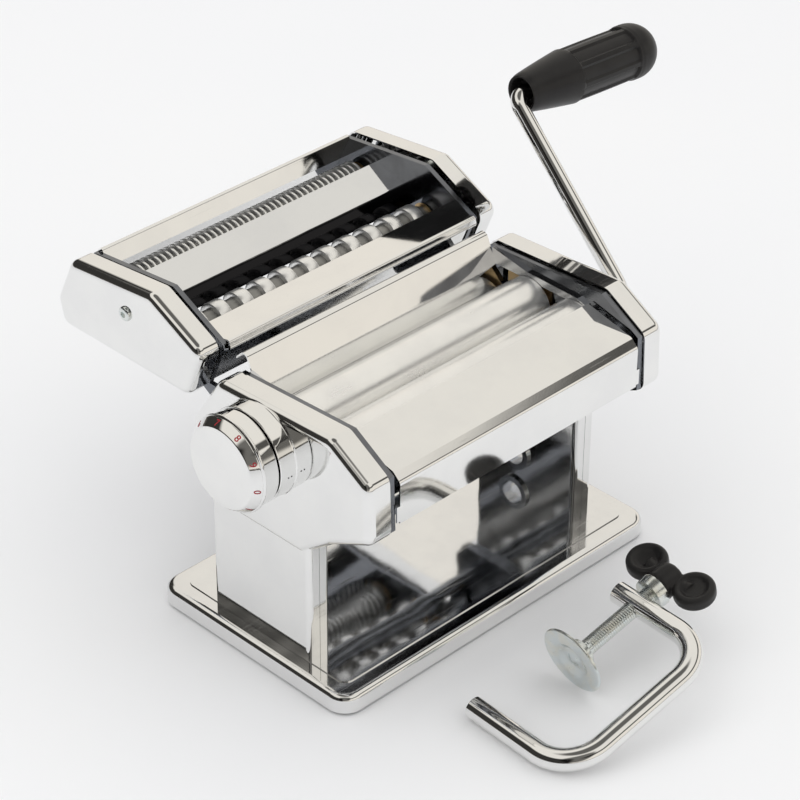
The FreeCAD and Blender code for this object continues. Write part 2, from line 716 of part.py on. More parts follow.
def square_socket(body, end, side_length, depth):
    """A square hole for the crank's tip, cut inward from a shaft's right end."""
    sketch = new_sketch(body, "YZ_Plane", end)
    half = side_length / 2
    draw_outline(sketch, box_outline(-half, half, -half, half))
    return pocket_down(body, sketch, depth)


def sheet_roller(label, y, right_end):
    """A smooth roller with a journal at each end."""
    journal = S["journal_radius"]
    radius = S["roller_radius"]
    left_end = -(S["frame_half"] + S["end_play"])
    profile = [(left_end, 0), (left_end, journal), (-ROLLER_HALF, journal), (-ROLLER_HALF, radius),
               (ROLLER_HALF, radius), (ROLLER_HALF, journal), (right_end, journal), (right_end, 0)]
    return turned_body(label, profile, y, DRIVE_Z)


def make_rollers():
    """Driven front roller, adjustable rear roller and their gears."""
    front = sheet_roller("front_roller", DRIVE_Y, S["drive_end"])
    square_socket(front, S["drive_end"], S["square_side"], S["square_depth"])
    node(front, "front_roller")
    rear_end = S["gear_near"] + S["gear_width"] + S["end_play"]
    node(sheet_roller("rear_roller", REAR_Y, rear_end), "rear_roller")
    half_pitch = 180 / S["gear_teeth"].value
    for label, y, turn in (("front_roller_gear", DRIVE_Y, 0.0),
                           ("rear_roller_gear", REAR_Y, 180 + half_pitch)):
        gear_body(label, y, DRIVE_Z, S["gear_teeth"], GEAR_MEET + S["gear_addendum"],
                  GEAR_MEET - S["gear_dedendum"], GEAR_MEET * S["tooth_tip"],
                  GEAR_MEET * S["tooth_root"], S["journal_radius"], S["gear_near"],
                  S["gear_width"], turn)
    near = S["cover_far"] - 3.8
    far = S["cover_far"] + 2
    bore, barrel, rim = (S["journal_radius"] + wall for wall in (0.1, 2, 4.5))
    profile = [(near, bore), (near, barrel), (S["cover_far"], barrel), (S["cover_far"], rim),
               (far, rim), (far, bore)]
    node(turned_body("drive_collar", profile, DRIVE_Y, DRIVE_Z), "drive_collar")


def make_carriage():
    """Sliding bearing blocks of the rear roller, their tie bar and the scroll follower."""
    bar_y = REAR_Y + S["bar_back"]
    bar_z = DRIVE_Z - BAR_DROP
    outline = box_outline(REAR_Y - S["block_front"], BLOCK_BACK, BLOCK_LOW, BLOCK_HIGH)
    bore = S["journal_radius"] + S["running_fit"]
    for side, name in BOTH_SIDES:
        label = f"{name}_bearing_block"
        body = plate_body(label, side, FRAME_IN, S["frame_half"], outline,
                          [(REAR_Y, DRIVE_Z, bore)])
        if side < 0:
            reach = S["scroll_near"] + S["scroll_width"] + 0.3
            pin = new_sketch(body, "YZ_Plane", -reach)
            draw_circle(pin, REAR_Y + follower_place(), DRIVE_Z, S["follower_radius"])
            pad(body, pin, reach - S["frame_half"])
        node(body, label)
    node(rod_x(-FRAME_IN, bar_y, bar_z, S["bar_radius"], FRAME_IN * 2), "carriage_tie_bar")


def follower_place():
    """Distance of the follower pin from the regulator axis at rest."""
    return S["scroll_start"] + CLOSING


def make_regulator():
    """Regulator shaft, scroll disc, knob, fixed collar and the knob's return spring."""
    radius = S["regulator_radius"]
    head_near = S["head_far"] - S["head_width"]
    inner = -S["frame_half"] - 0.6
    profile = [(inner, 0), (inner, radius), (-head_near, radius), (-head_near, S["head_radius"]),
               (-S["head_far"], S["head_radius"]), (-S["head_far"], 0)]
    node(turned_body("regulator_shaft", profile, REAR_Y, DRIVE_Z), "regulator_shaft")
    make_scroll()
    make_knob_collar()
    make_knob()
    make_knob_spring()


def make_scroll():
    """Disc with a spiral slot of even pitch; one full knob range moves the roller 4.2 mm."""
    step = math.radians(36)
    lift = GAP_STEP.value / step
    half_width = S["follower_radius"].value + S["follower_fit"].value
    rest = follower_place().value
    low = -S["rest_setting"].value * step - math.radians(2)
    high = (S["setting_count"].value - 1 - S["rest_setting"].value) * step + math.radians(2)
    thick = S["scroll_width"].value

    def slot_point(angle, offset):
        distance = rest - lift * angle + offset
        return Vector(0, distance * math.cos(angle), distance * math.sin(angle))

    def cap(angle, direction):
        turn = angle + direction * half_width / slot_point(angle, 0).Length
        return Part.Arc(slot_point(angle, -half_width), slot_point(turn, 0),
                        slot_point(angle, half_width)).toShape()

    steps = 24
    angles = [low + (high - low) * index / steps for index in range(steps + 1)]
    edges = []
    for offset in (-half_width, half_width):
        curve = Part.BSplineCurve()
        curve.interpolate([slot_point(angle, offset) for angle in angles])
        edges.append(curve.toShape())
    edges += [cap(low, -1), cap(high, 1)]
    slot = Part.Face(Part.Wire(Part.__sortEdges__(edges)))
    axis = Vector(1, 0, 0)
    disc = Part.makeCylinder(S["scroll_radius"].value, thick, Vector(0, 0, 0), axis)
    bore = Part.makeCylinder(S["regulator_radius"].value, thick, Vector(0, 0, 0), axis)
    solid = disc.cut(bore).cut(slot.extrude(Vector(thick, 0, 0)))
    scroll = document.addObject("Part::Feature", "scroll_disc")
    scroll.Shape = solid
    place(scroll, -S["scroll_near"] - S["scroll_width"], REAR_Y, DRIVE_Z)
    node(scroll, "scroll_disc")


def make_knob_collar():
    """Fixed boss on the left cover that the knob turns against, with the index peg."""
    bore = S["regulator_radius"] + S["running_fit"]
    outer = S["knob_near"] - 0.7
    inner = -S["cover_far"] + 3.3
    profile = [(inner, bore), (inner, 8.0), (-S["cover_far"], 8.0),
               (-S["cover_far"], S["collar_radius"]), (-outer, S["collar_radius"]), (-outer, bore)]
    body = turned_body("knob_collar", profile, REAR_Y, DRIVE_Z)
    peg_length = size(1.8)
    peg = new_sketch(body, "YZ_Plane", -outer - peg_length)
    draw_circle(peg, 0, S["index_circle"], S["index_radius"])
    pad(body, peg, peg_length + 0.5)
    node(body, "knob_collar")


def make_knob():
    """Pull-out knob: a cup with a bevelled face, a groove behind for the index peg."""
    near = S["knob_near"]
    far = S["knob_far"]
    bevel = S["knob_bevel"]
    bore = S["regulator_radius"] + S["running_fit"]
    peg_low = S["index_circle"] - S["index_radius"] * 1.5
    peg_high = S["index_circle"] + S["index_radius"] * 1.5
    profile = [(-near, bore), (-near, peg_low), (-near - 2.4, peg_low), (-near - 2.4, peg_high),
               (-near, peg_high), (-near, S["knob_radius"]),
               (-far + bevel * 2, S["knob_radius"]), (-far, S["knob_radius"] - bevel),
               (-far, 0), (-far + 1.2, 0), (-far + 1.2, S["knob_cavity"]),
               (-near - S["knob_wall"], S["knob_cavity"]), (-near - S["knob_wall"], bore)]
    node(turned_body("regulator_knob", profile, REAR_Y, DRIVE_Z), "regulator_knob")


def make_knob_spring():
    """Compression spring between the knob's floor and the shaft's head."""
    wire = S["spring_wire"]
    start = S["knob_near"] + S["knob_wall"] + wire
    length = S["head_far"] - S["head_width"] - wire - start
    body = new_body("knob_spring")
    section = new_sketch(body, "XZ_Plane")
    draw_circle(section, S["regulator_radius"] + 1.4, 0, wire)
    coil = body.newObject("PartDesign::AdditiveHelix", "spring_coil")
    coil.Profile = section
    coil.ReferenceAxis = (section, ["V_Axis"])
    bind(coil, Height=length, Pitch=length / S["spring_turns"])
    place(body, -start, REAR_Y, DRIVE_Z, Rotation(Vector(0, 1, 0), -90))
    node(body, "knob_spring")


# ---------------------------------------------------------------- bent rods

def bent_path(sketch, corners, bend):
    """An open path of straight runs joined by arcs of one radius, every end dimensioned."""
    flat = [Vector(size(u).value, size(v).value, 0) for u, v in corners]
    start = corners[0]
    edges = []
    for index in range(1, len(corners)):
        if index == len(corners) - 1:
            edges.append(path_line(sketch, start, corners[index]))
            break
        into = (flat[index] - flat[index - 1]).normalize()
        out = (flat[index + 1] - flat[index]).normalize()
        setback = math.tan(into.getAngle(out) / 2)
        radius = bend[index - 1] if isinstance(bend, list) else bend
        u, v = corners[index]
        first = (u - radius * (setback * into.x), v - radius * (setback * into.y))
        last = (u + radius * (setback * out.x), v + radius * (setback * out.y))
        edges.append(path_line(sketch, start, first))
        middle = Vector(size(first[0]).value + size(last[0]).value,
                        size(first[1]).value + size(last[1]).value, 0) * 0.5
        outward = (flat[index] - middle).normalize()
        sagitta = size(radius).value * (1 - math.cos(into.getAngle(out) / 2))
        ends = [Vector(size(p[0]).value, size(p[1]).value, 0) for p in (first, last)]
        arc = Part.Arc(ends[0], middle + outward * sagitta, ends[1])
        number = sketch.addGeometry(arc, False)
        clockwise = into.cross(out).z < 0
        ends_order = (2, 1) if clockwise else (1, 2)
        pin_point(sketch, number, ends_order[0], *first)
        pin_point(sketch, number, ends_order[1], *last)
        rule = sketch.addConstraint(Sketcher.Constraint("Radius", number, size(radius).value))
        sketch.setExpression(f"Constraints[{rule}]", size(radius).text)
        edges.append(number)
        start = last
    return [f"Edge{number + 1}" for number in edges]


def path_line(sketch, start, end):
    """A straight run with both ends dimensioned."""
    ends = [Vector(size(u).value, size(v).value, 0) for u, v in (start, end)]
    number = sketch.addGeometry(Part.LineSegment(*ends), False)
    pin_point(sketch, number, 1, *start)
    pin_point(sketch, number, 2, *end)
    return number


def rod_body(label, corners, bend, radius):
    """A round rod swept along a bent path in the body's XZ plane, starting along X."""
    body = new_body(label)
    path = new_sketch(body, "XZ_Plane")
    edges = bent_path(path, corners, bend)
    section = new_sketch(body, "YZ_Plane", corners[0][0])
    draw_circle(section, 0, corners[0][1], radius)
    document.recompute()
    pipe = body.newObject("PartDesign::AdditivePipe", f"{label}_pipe")
    pipe.Profile = section
    pipe.Spine = (path, edges)
    return body


def make_crank():
    """Bent crank rod with a square tip, and the grip that turns freely on it."""
    reach = S["crank_reach"]
    arm = S["crank_length"]
    lean = math.radians(S["pin_lean"].value)
    shoulder = S["drive_end"] + 0.3
    pin_end = (reach + S["pin_length"] * math.cos(lean), arm - S["pin_length"] * math.sin(lean))
    body = rod_body("crank_rod", [(shoulder, 0), (reach, 0), (reach, arm), pin_end],
                    [S["crank_bend"], S["pin_bend"]], S["crank_rod"])
    half = S["square_side"] / 2 - S["square_fit"]
    tip = new_sketch(body, "YZ_Plane", shoulder - S["square_depth"] + 1.0)
    upright = Rotation(Vector(0, 0, 1), S["crank_angle"].value)
    tip.AttachmentOffset = Placement(tip.AttachmentOffset.Base, upright)
    draw_outline(tip, box_outline(-half, half, -half, half))
    pad(body, tip, S["square_depth"] - 1.0 + 0.5)
    turn = Rotation(Vector(1, 0, 0), -S["crank_angle"].value)
    place(body, 0, DRIVE_Y, DRIVE_Z, turn)
    node(body, "crank_rod")
    grip = turned_grip()
    angle = math.radians(S["crank_angle"].value)
    grip_turn = turn.multiply(Rotation(Vector(0, 1, 0), S["pin_lean"].value))
    place(grip, reach, DRIVE_Y + arm * math.sin(angle), DRIVE_Z + arm * math.cos(angle), grip_turn)
    node(grip, "crank_grip")


def turned_grip():
    """Plastic grip: a narrow mouth, a flare and a rounded closed end, bored for the pin."""
    start = S["grip_start"]
    end = start + S["grip_length"]
    small = S["grip_small"]
    large = S["grip_large"]
    flare = start + S["grip_flare"]
    bore = S["crank_rod"] + S["grip_bore_fit"]
    recess = S["grip_recess"]
    bottom = S["pin_length"] + 0.6
    profile = [(start, recess), (start, small), (flare, large - 0.2), (flare + 1, large - 0.9),
               (end - 14, large - 0.6), (end - 12, large), (end - 4, large - 0.8),
               (end - 1.2, large - 3.4), (end, large - 7.5), (end, 0), (bottom, 0), (bottom, bore),
               (start + 7, bore), (start + 7, recess)]
    return turned_body("crank_grip", profile)


# ---------------------------------------------------------------- cutter attachment

def cutter_roller(label, y, z, pitch, count, driven):
    """A slitting roller: a core with evenly spaced rings, turned journals and a gear seat."""
    body = new_body(label)
    journal = S["cutter_journal"]
    core = CUTTER_R - S["cutter_depth"]
    left = -(CUTTER_OUT + S["end_play"])
    gear_end = S["gear_near"] + S["gear_width"] + S["end_play"]
    right = S["cutter_drive_end"] if driven else gear_end
    half = ROLLER_HALF
    sketch = new_sketch(body, "XY_Plane")
    draw_outline(sketch, [(left, 0), (left, journal), (-half, journal), (-half, core),
                          (half, core), (half, journal), (right, journal), (right, 0)])
    revolve(body, sketch)
    width = pitch / 2 - S["side_clearance"] * 2
    first = -pitch * (count - 1) / 2
    ring = new_sketch(body, "XY_Plane")
    draw_outline(ring, box_outline(first - width / 2, first + width / 2, core - 1,
                                   S["cutter_radius"]))
    disc = revolve(body, ring)
    document.recompute()
    pattern = body.newObject("PartDesign::LinearPattern", f"{label}_rings")
    pattern.Originals = [disc]
    pattern.Direction = (ring, ["H_Axis"])
    bind(pattern, Length=pitch * (count - 1), Occurrences=count)
    body.Tip = pattern
    if driven:
        square_socket(body, right, S["cutter_square"], S["square_depth"])
    place(body, 0, y, z)
    return node(body, label)


def make_cutter_pair(kind, y, z, pitch, count):
    """Two meshing slitting rollers, the rear one driven, with their gears and comb."""
    front_y = y - CUTTER_PAIR
    meet = CUTTER_PAIR / 2
    half_pitch = 180 / S["gear_teeth"].value
    pairs = (("rear", y, count, True, 0.0), ("front", front_y, count - 1, False, 180 + half_pitch))
    for place_name, axis_y, rings, driven, turn in pairs:
        cutter_roller(f"{kind}_{place_name}_cutter", axis_y, z, pitch, rings, driven)
        gear_body(f"{kind}_{place_name}_cutter_gear", axis_y, z, S["gear_teeth"],
                  meet + S["cutter_addendum"], meet - S["cutter_dedendum"],
                  meet * S["cutter_tooth_tip"], meet * S["cutter_tooth_root"],
                  S["cutter_journal"], S["gear_near"], S["gear_width"], turn)
    make_comb(f"{kind}_comb", y - meet, z, pitch, count)


def make_comb(label, middle, z, pitch, count):
    """Comb under a cutter pair whose fingers reach up toward the bite."""
    body = new_body(label)
    bar = new_sketch(body, "YZ_Plane", -CUTTER_IN)
    half = S["comb_half"]
    draw_outline(bar, box_outline(middle - half, middle + half, COMB_BOTTOM, COMB_TOP))
    pad(body, bar, CUTTER_IN * 2)
    half_tooth = S["comb_tooth"]
    width = pitch / 3
    first = -pitch * (count - 1) / 2 - width / 2
    finger = new_sketch(body, "YZ_Plane", first)
    draw_outline(finger, box_outline(middle - half_tooth, middle + half_tooth,
                                     COMB_TOP - 0.5, z - CUTTER_R * S["comb_reach"]))
    tooth = pad(body, finger, width)
    document.recompute()
    pattern = body.newObject("PartDesign::LinearPattern", f"{label}_fingers")
    pattern.Originals = [tooth]
    pattern.Direction = (finger, ["N_Axis"])
    bind(pattern, Length=pitch * (count - 1), Occurrences=count)
    body.Tip = pattern
    node(body, label)


def make_cutter_frame():
    """Side plates, covers, bushes, drive collars, screws and the three sheet guards."""
    axes = []
    for y, z in ((WIDE_Y, WIDE_Z), (THIN_Y, THIN_Z)):
        axes += [(y, z), (y - CUTTER_PAIR, z)]
    bush = CUTTER_PAIR / 2 - S["bush_spacing"]
    driven = [axes[0], axes[2]]
    bushes = []
    collars = []
    screws = []
    for side, name in BOTH_SIDES:
        plate = plate_body(f"{name}_cutter_plate", side, CUTTER_IN, CUTTER_OUT,
                           CUTTER_PLATE_OUTLINE, [(y, z, bush) for y, z in axes])
        node(plate, f"{name}_cutter_plate")
        collar_bore = S["cutter_journal"] + 2.6
        holes = [(SCREW_Y, SCREW_Z, 2.0)]
        if side > 0:
            holes += [(y, z, collar_bore) for y, z in driven]
        cover = cover_body(f"{name}_cutter_cover", side, S["cutter_cover_near"],
                           S["cutter_cover_far"], CUTTER_OUTLINE, holes, S["cover_corner"])
        node(cover, f"{name}_cutter_cover")
        start, width = span(side, CUTTER_IN, CUTTER_OUT)
        for y, z in axes:
            bushes.append(ring_x(start, y, z, bush,
                                 S["cutter_journal"] + S["running_fit"], width))
        screws.append(cover_screw(side))
    for y, z in driven:
        inner = S["cutter_cover_far"] - 4
        collar = [(inner, S["cutter_journal"] + 0.1), (inner, collar_bore),
                  (S["cutter_cover_far"], collar_bore), (S["cutter_cover_far"], collar_bore + 2),
                  (S["cutter_cover_far"] + 1.6, collar_bore + 2),
                  (S["cutter_cover_far"] + 1.6, S["cutter_journal"] + 0.1)]
        collars.append(turned_body("cutter_collar", collar, y, z))
    group(bushes, "cutter_bushes")
    group(collars, "cutter_collars")
    group(screws, "cutter_cover_screws")
    make_guards()


def cover_screw(side):
    """Screw with its spacer between a cutter side plate and the cover over it."""
    skin = S["cutter_cover_far"] - S["cover_sheet"]
    face = S["cutter_cover_far"]
    profile = [(CUTTER_OUT, 0), (CUTTER_OUT, 4.0), (skin, 4.0), (skin, 2.0), (face, 2.0),
               (face, 3.6), (face + 1.0, 3.4), (face + 1.7, 2.2), (face + 1.7, 0)]
    return turned_body("cover_screw", [(size(x) * side, r) for x, r in profile],
                       SCREW_Y, SCREW_Z)


def make_guards():
    """Front, middle and rear sheet guards that form the two feeding hoppers."""
    paths = {
        "front_guard": [(CUTTER_START + 2.4, WIDE_Z - CUTTER_R - 3),
                        (CUTTER_START - 5, WIDE_TOP - 1.8), (CUTTER_START - 10.1, WIDE_TOP + 0.9),
                        (CUTTER_START - 9, WIDE_TOP + 5.3), (CUTTER_START + 14.4, WIDE_TOP + 0.5)],
        "middle_guard": [(WIDE_Y + CUTTER_R + 0.5, WIDE_Z + 3),
                         (WIDE_Y + CUTTER_R + 4.2, WIDE_TOP + 4.4),
                         (THIN_FRONT_Y + 3.6, THIN_TOP + 4.3)],
        "rear_guard": [(THIN_Y + 2.5, THIN_TOP + 3.6), (THIN_BACK - 0.7, THIN_TOP + 11.6),
                       (THIN_BACK + 2.5, THIN_TOP + 7.8), (THIN_BACK + 10.5, THIN_Z - 4.9),
                       (THIN_BACK + 8.1, COMB_BOTTOM + 0.8)],
    }
    for label, path in paths.items():
        node(folded_body(label, path, S["plate_sheet"], CUTTER_IN, size(0.6)), label)


# ---------------------------------------------------------------- table clamp

def clamp_rotation():
    """Lie of the clamp: one arm flat on the floor, the foot disc's edge propping the rest."""
    run = S["foot_place"].value
    disc = S["foot_disc"].value + 0.05
    pitch = math.atan2(disc, run) - math.asin(S["clamp_rod"].value / math.hypot(run, disc))
    heading = math.radians(S["clamp_heading"].value)
    along = Vector(math.cos(heading) * math.cos(pitch), math.sin(heading) * math.cos(pitch),
                   math.sin(pitch))
    across = Vector(-math.sin(heading), math.cos(heading), 0)
    return Rotation(-across, Vector(), along, "ZXY")


def place_clamp(body, label):
    place(body, S["clamp_x"], S["clamp_y"], S["clamp_rod"], clamp_rotation())
    return node(body, label)


def upright_turned(label, profile):
    """A piece turned about the clamp screw's line; the profile holds (height, radius)."""
    body = new_body(label)
    sketch = new_sketch(body, "XZ_Plane")
    offset = S["screw_offset"]
    draw_outline(sketch, [(size(radius) - offset, height) for height, radius in profile])
    axis_line = Part.LineSegment(Vector(-offset.value, 0, 0), Vector(-offset.value, 10, 0))
    number = sketch.addGeometry(axis_line, True)
    pin_point(sketch, number, 1, -offset, 0)
    pin_point(sketch, number, 2, -offset, 10)
    feature = body.newObject("PartDesign::Revolution", f"{label}_turned")
    feature.Profile = sketch
    feature.ReferenceAxis = (sketch, ["Axis0"])
    feature.Angle = 360
    return body


def make_clamp():
    """Bent bracket, screw, sliding foot disc, collar and wing knob of the table clamp."""
    span_z = S["clamp_span"]
    bracket = rod_body("clamp_bracket", [(-S["clamp_arm"], 0), (0, 0), (0, span_z),
                                         (-S["clamp_reach"], span_z)],
                       S["clamp_bend"], S["clamp_rod"])
    hole = new_sketch(bracket, "XY_Plane", span_z)
    draw_circle(hole, -S["screw_offset"], 0, S["clamp_screw"] + S["running_fit"])
    cut = pocket_down(bracket, hole, S["clamp_rod"] * 3)
    cut.Midplane = True
    place_clamp(bracket, "clamp_bracket")
    base = S["foot_place"]
    hub_end = base + S["foot_hub_length"]
    seat = base + 2.6
    bore = S["clamp_screw"] + S["running_fit"]
    foot = [(base, S["foot_disc"]), (base, 9.5), (base + 1.4, 7.0), (base + 1.4, 0), (seat, 0),
            (seat, bore), (hub_end, bore), (hub_end, S["foot_hub"]),
            (base + 3.6, S["foot_hub"] + 1.4), (base + S["foot_rim"], 10.5),
            (base + S["foot_rim"], S["foot_disc"])]
    place_clamp(upright_turned("clamp_foot", foot), "clamp_foot")
    wing = span_z + S["wing_start"]
    radius = S["clamp_screw"]
    tip = wing + S["wing_length"] - 3
    screw = [(seat + 0.1, 0), (seat + 0.1, radius), (tip, radius), (tip, 0)]
    place_clamp(upright_turned("clamp_screw", screw), "clamp_screw")
    collar = [(wing - 5.0, radius), (wing - 5.0, 7.6), (wing - 1.0, 8.2), (wing, 8.2),
              (wing, radius)]
    place_clamp(upright_turned("clamp_collar", collar), "clamp_collar")
    make_wing(wing)


def make_wing(start):
    """Two-lobed wing knob moulded round the end of the screw."""
    body = new_body("wing_knob")
    offset = S["screw_offset"]
    hub = new_sketch(body, "XY_Plane", start)
    draw_circle(hub, -offset, 0, S["wing_hub"])
    pad(body, hub, S["wing_length"])
    for direction in (-1, 1):
        reach = S["wing_reach"] * direction
        neck = new_sketch(body, "XZ_Plane", -S["wing_thick"] / 2)
        draw_outline(neck, [(-offset, start + 2), (reach - offset, start + 5),
                            (reach - offset, start + 14), (-offset, start + 11)])
        pad(body, neck, S["wing_thick"])
        lobe = new_sketch(body, "XZ_Plane", -S["wing_thick"] / 2)
        draw_circle(lobe, reach - offset, start + S["wing_length"] * 0.75, S["wing_lobe"])
        pad(body, lobe, S["wing_thick"])
    document.recompute()
    hole = new_sketch(body, "XY_Plane", start)
    draw_circle(hole, -offset, 0, S["clamp_screw"])
    bore = pocket_down(body, hole, S["wing_length"] - 3)
    bore.Reversed = True
    place_clamp(body, "wing_knob")


# ---------------------------------------------------------------- build, check and write

def check_and_write():
    """Refuse a failed feature or an empty shape, then write one file per piece."""
    document.recompute()
    failed = [item.Name for item in document.Objects
              if "Invalid" in item.State or "Error" in item.State]
    for item in NODES:
        if item.Shape.isNull() or not item.Shape.isValid() or not item.Shape.Solids:
            failed.append(item.Label)
    if failed:
        raise RuntimeError("failed pieces: " + ", ".join(failed))
    os.makedirs("parts", exist_ok=True)
    for item in NODES:
        item.Shape.exportStep(f"parts/{item.Label}.step")
    print(len(NODES), "pieces written")


def main():
    make_base()
    for side, name in BOTH_SIDES:
        make_leg(side, name)
    make_clamp_socket()
    make_machine_covers()
    make_frames()
    make_guides()
    make_hopper_plates()
    make_inner_parts()
    make_rollers()
    make_carriage()
    make_regulator()
    make_crank()
    make_cutter_frame()
    make_cutter_pair("wide", WIDE_Y, WIDE_Z, S["wide_pitch"], S["wide_count"])
    make_cutter_pair("thin", THIN_Y, THIN_Z, S["thin_pitch"], S["thin_count"])
    make_clamp()
    check_and_write()


main()
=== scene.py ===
"""Looks of a hand-cranked pasta machine, its cutter attachment and its loose table clamp."""

import logging
import math
from dataclasses import dataclass, field
from enum import Enum
from typing import Any, Iterable, Optional, Sequence

import bmesh
import bpy
from mathutils import Matrix, Vector


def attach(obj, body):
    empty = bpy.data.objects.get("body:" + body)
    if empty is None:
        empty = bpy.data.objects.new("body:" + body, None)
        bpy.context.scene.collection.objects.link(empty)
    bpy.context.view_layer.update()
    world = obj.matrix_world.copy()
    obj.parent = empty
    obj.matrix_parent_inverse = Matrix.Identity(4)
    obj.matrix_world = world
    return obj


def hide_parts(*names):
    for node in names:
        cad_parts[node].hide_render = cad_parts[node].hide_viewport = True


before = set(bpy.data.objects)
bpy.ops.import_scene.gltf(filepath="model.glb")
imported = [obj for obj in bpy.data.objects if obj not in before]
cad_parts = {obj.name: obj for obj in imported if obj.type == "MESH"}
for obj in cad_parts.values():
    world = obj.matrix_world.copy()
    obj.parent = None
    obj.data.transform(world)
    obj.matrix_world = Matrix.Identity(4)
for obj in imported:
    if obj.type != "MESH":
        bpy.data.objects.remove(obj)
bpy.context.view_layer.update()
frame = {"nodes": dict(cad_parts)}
LOG = logging.getLogger("pasta_machine")

MM = 0.001
TURN = 2 * math.pi
POLE = 1e-4
Pair = tuple[float, float]
Triple = tuple[float, float, float]
DRIVE_Z = 113.5
REAR_Y = -2.966667


# ------------------------------------------------------------------ node trees

class Term:
    """A number socket that Python operators turn into Math nodes."""

    def __init__(self, tree: "Tree", socket: bpy.types.NodeSocket) -> None:
        """Wrap a socket of a tree."""
        self.tree = tree
        self.socket = socket

    def join(self, operation: str, other: "Term | float", swapped: bool = False) -> "Term":
        """Add one Math node.

        Args:
            operation: the Math node's operation.
            other: the second operand.
            swapped: True when the other operand comes first.

        Returns:
            The result as a Term.
        """
        first, second = (other, self) if swapped else (self, other)
        node = self.tree.add("ShaderNodeMath", {"operation": operation}, {0: first, 1: second})
        return Term(self.tree, node.outputs[0])

    def __add__(self, other: "Term | float") -> "Term":
        """Sum."""
        return self.join("ADD", other)

    __radd__ = __add__

    def __sub__(self, other: "Term | float") -> "Term":
        """Difference."""
        return self.join("SUBTRACT", other)

    def __rsub__(self, other: float) -> "Term":
        """Difference from a number."""
        return self.join("SUBTRACT", other, swapped=True)

    def __mul__(self, other: "Term | float") -> "Term":
        """Product."""
        return self.join("MULTIPLY", other)

    __rmul__ = __mul__

    def step(self, low: float, high: float) -> "Term":
        """A smooth ramp from 0 at low to 1 at high.

        Args:
            low: value that gives 0.
            high: value that gives 1.

        Returns:
            The ramp as a Term.
        """
        node = self.tree.add("ShaderNodeMapRange", {"interpolation_type": "SMOOTHSTEP"},
                             {0: self, 1: low, 2: high, 3: 0.0, 4: 1.0})
        return Term(self.tree, node.outputs[0])


class Tree:
    """A node tree with one method that adds any node."""

    def __init__(self, tree: bpy.types.NodeTree) -> None:
        """Wrap a node tree."""
        self.tree = tree

    def add(self, kind: str, settings: Optional[dict[str, Any]] = None,
            inputs: Optional[dict[Any, Any]] = None) -> bpy.types.Node:
        """Add a node, set it up and join its inputs.

        Args:
            kind: the node's type.
            settings: its properties.
            inputs: values, sockets or Terms by input name or number.

        Returns:
            The new node.
        """
        node = self.tree.nodes.new(kind)
        for name, value in (settings or {}).items():
            setattr(node, name, value)
        for key, value in (inputs or {}).items():
            socket = node.inputs[key]
            if isinstance(value, Term):
                value = value.socket
            if isinstance(value, bpy.types.NodeSocket):
                self.tree.links.new(value, socket)
            else:
                socket.default_value = value
        return node

    def term(self, kind: str, settings: Optional[dict[str, Any]] = None,
             inputs: Optional[dict[Any, Any]] = None, output: Any = 0) -> Term:
        """Add a node and wrap one of its outputs."""
        return Term(self, self.add(kind, settings, inputs).outputs[output])

    def blend(self, factor: "Term | float", first: Any, second: Any) -> bpy.types.NodeSocket:
        """Mix two colours.

        Args:
            factor: 0 for the first colour, 1 for the second.
            first: colour or socket.
            second: colour or socket.

        Returns:
            The mixed colour's socket.
        """
        node = self.add("ShaderNodeMix", {"data_type": "RGBA"}, {0: factor, 6: first, 7: second})
        return node.outputs[2]


def cleared(owner: bpy.types.Material | bpy.types.World) -> Tree:
    """Turn on an owner's nodes and return its emptied tree."""
    owner.use_nodes = True
    owner.node_tree.nodes.clear()
    return Tree(owner.node_tree)


# ------------------------------------------------------------------ finishes

def rgba(colour: Triple) -> tuple[float, float, float, float]:
    """A colour with full alpha."""
    return (*colour, 1.0)


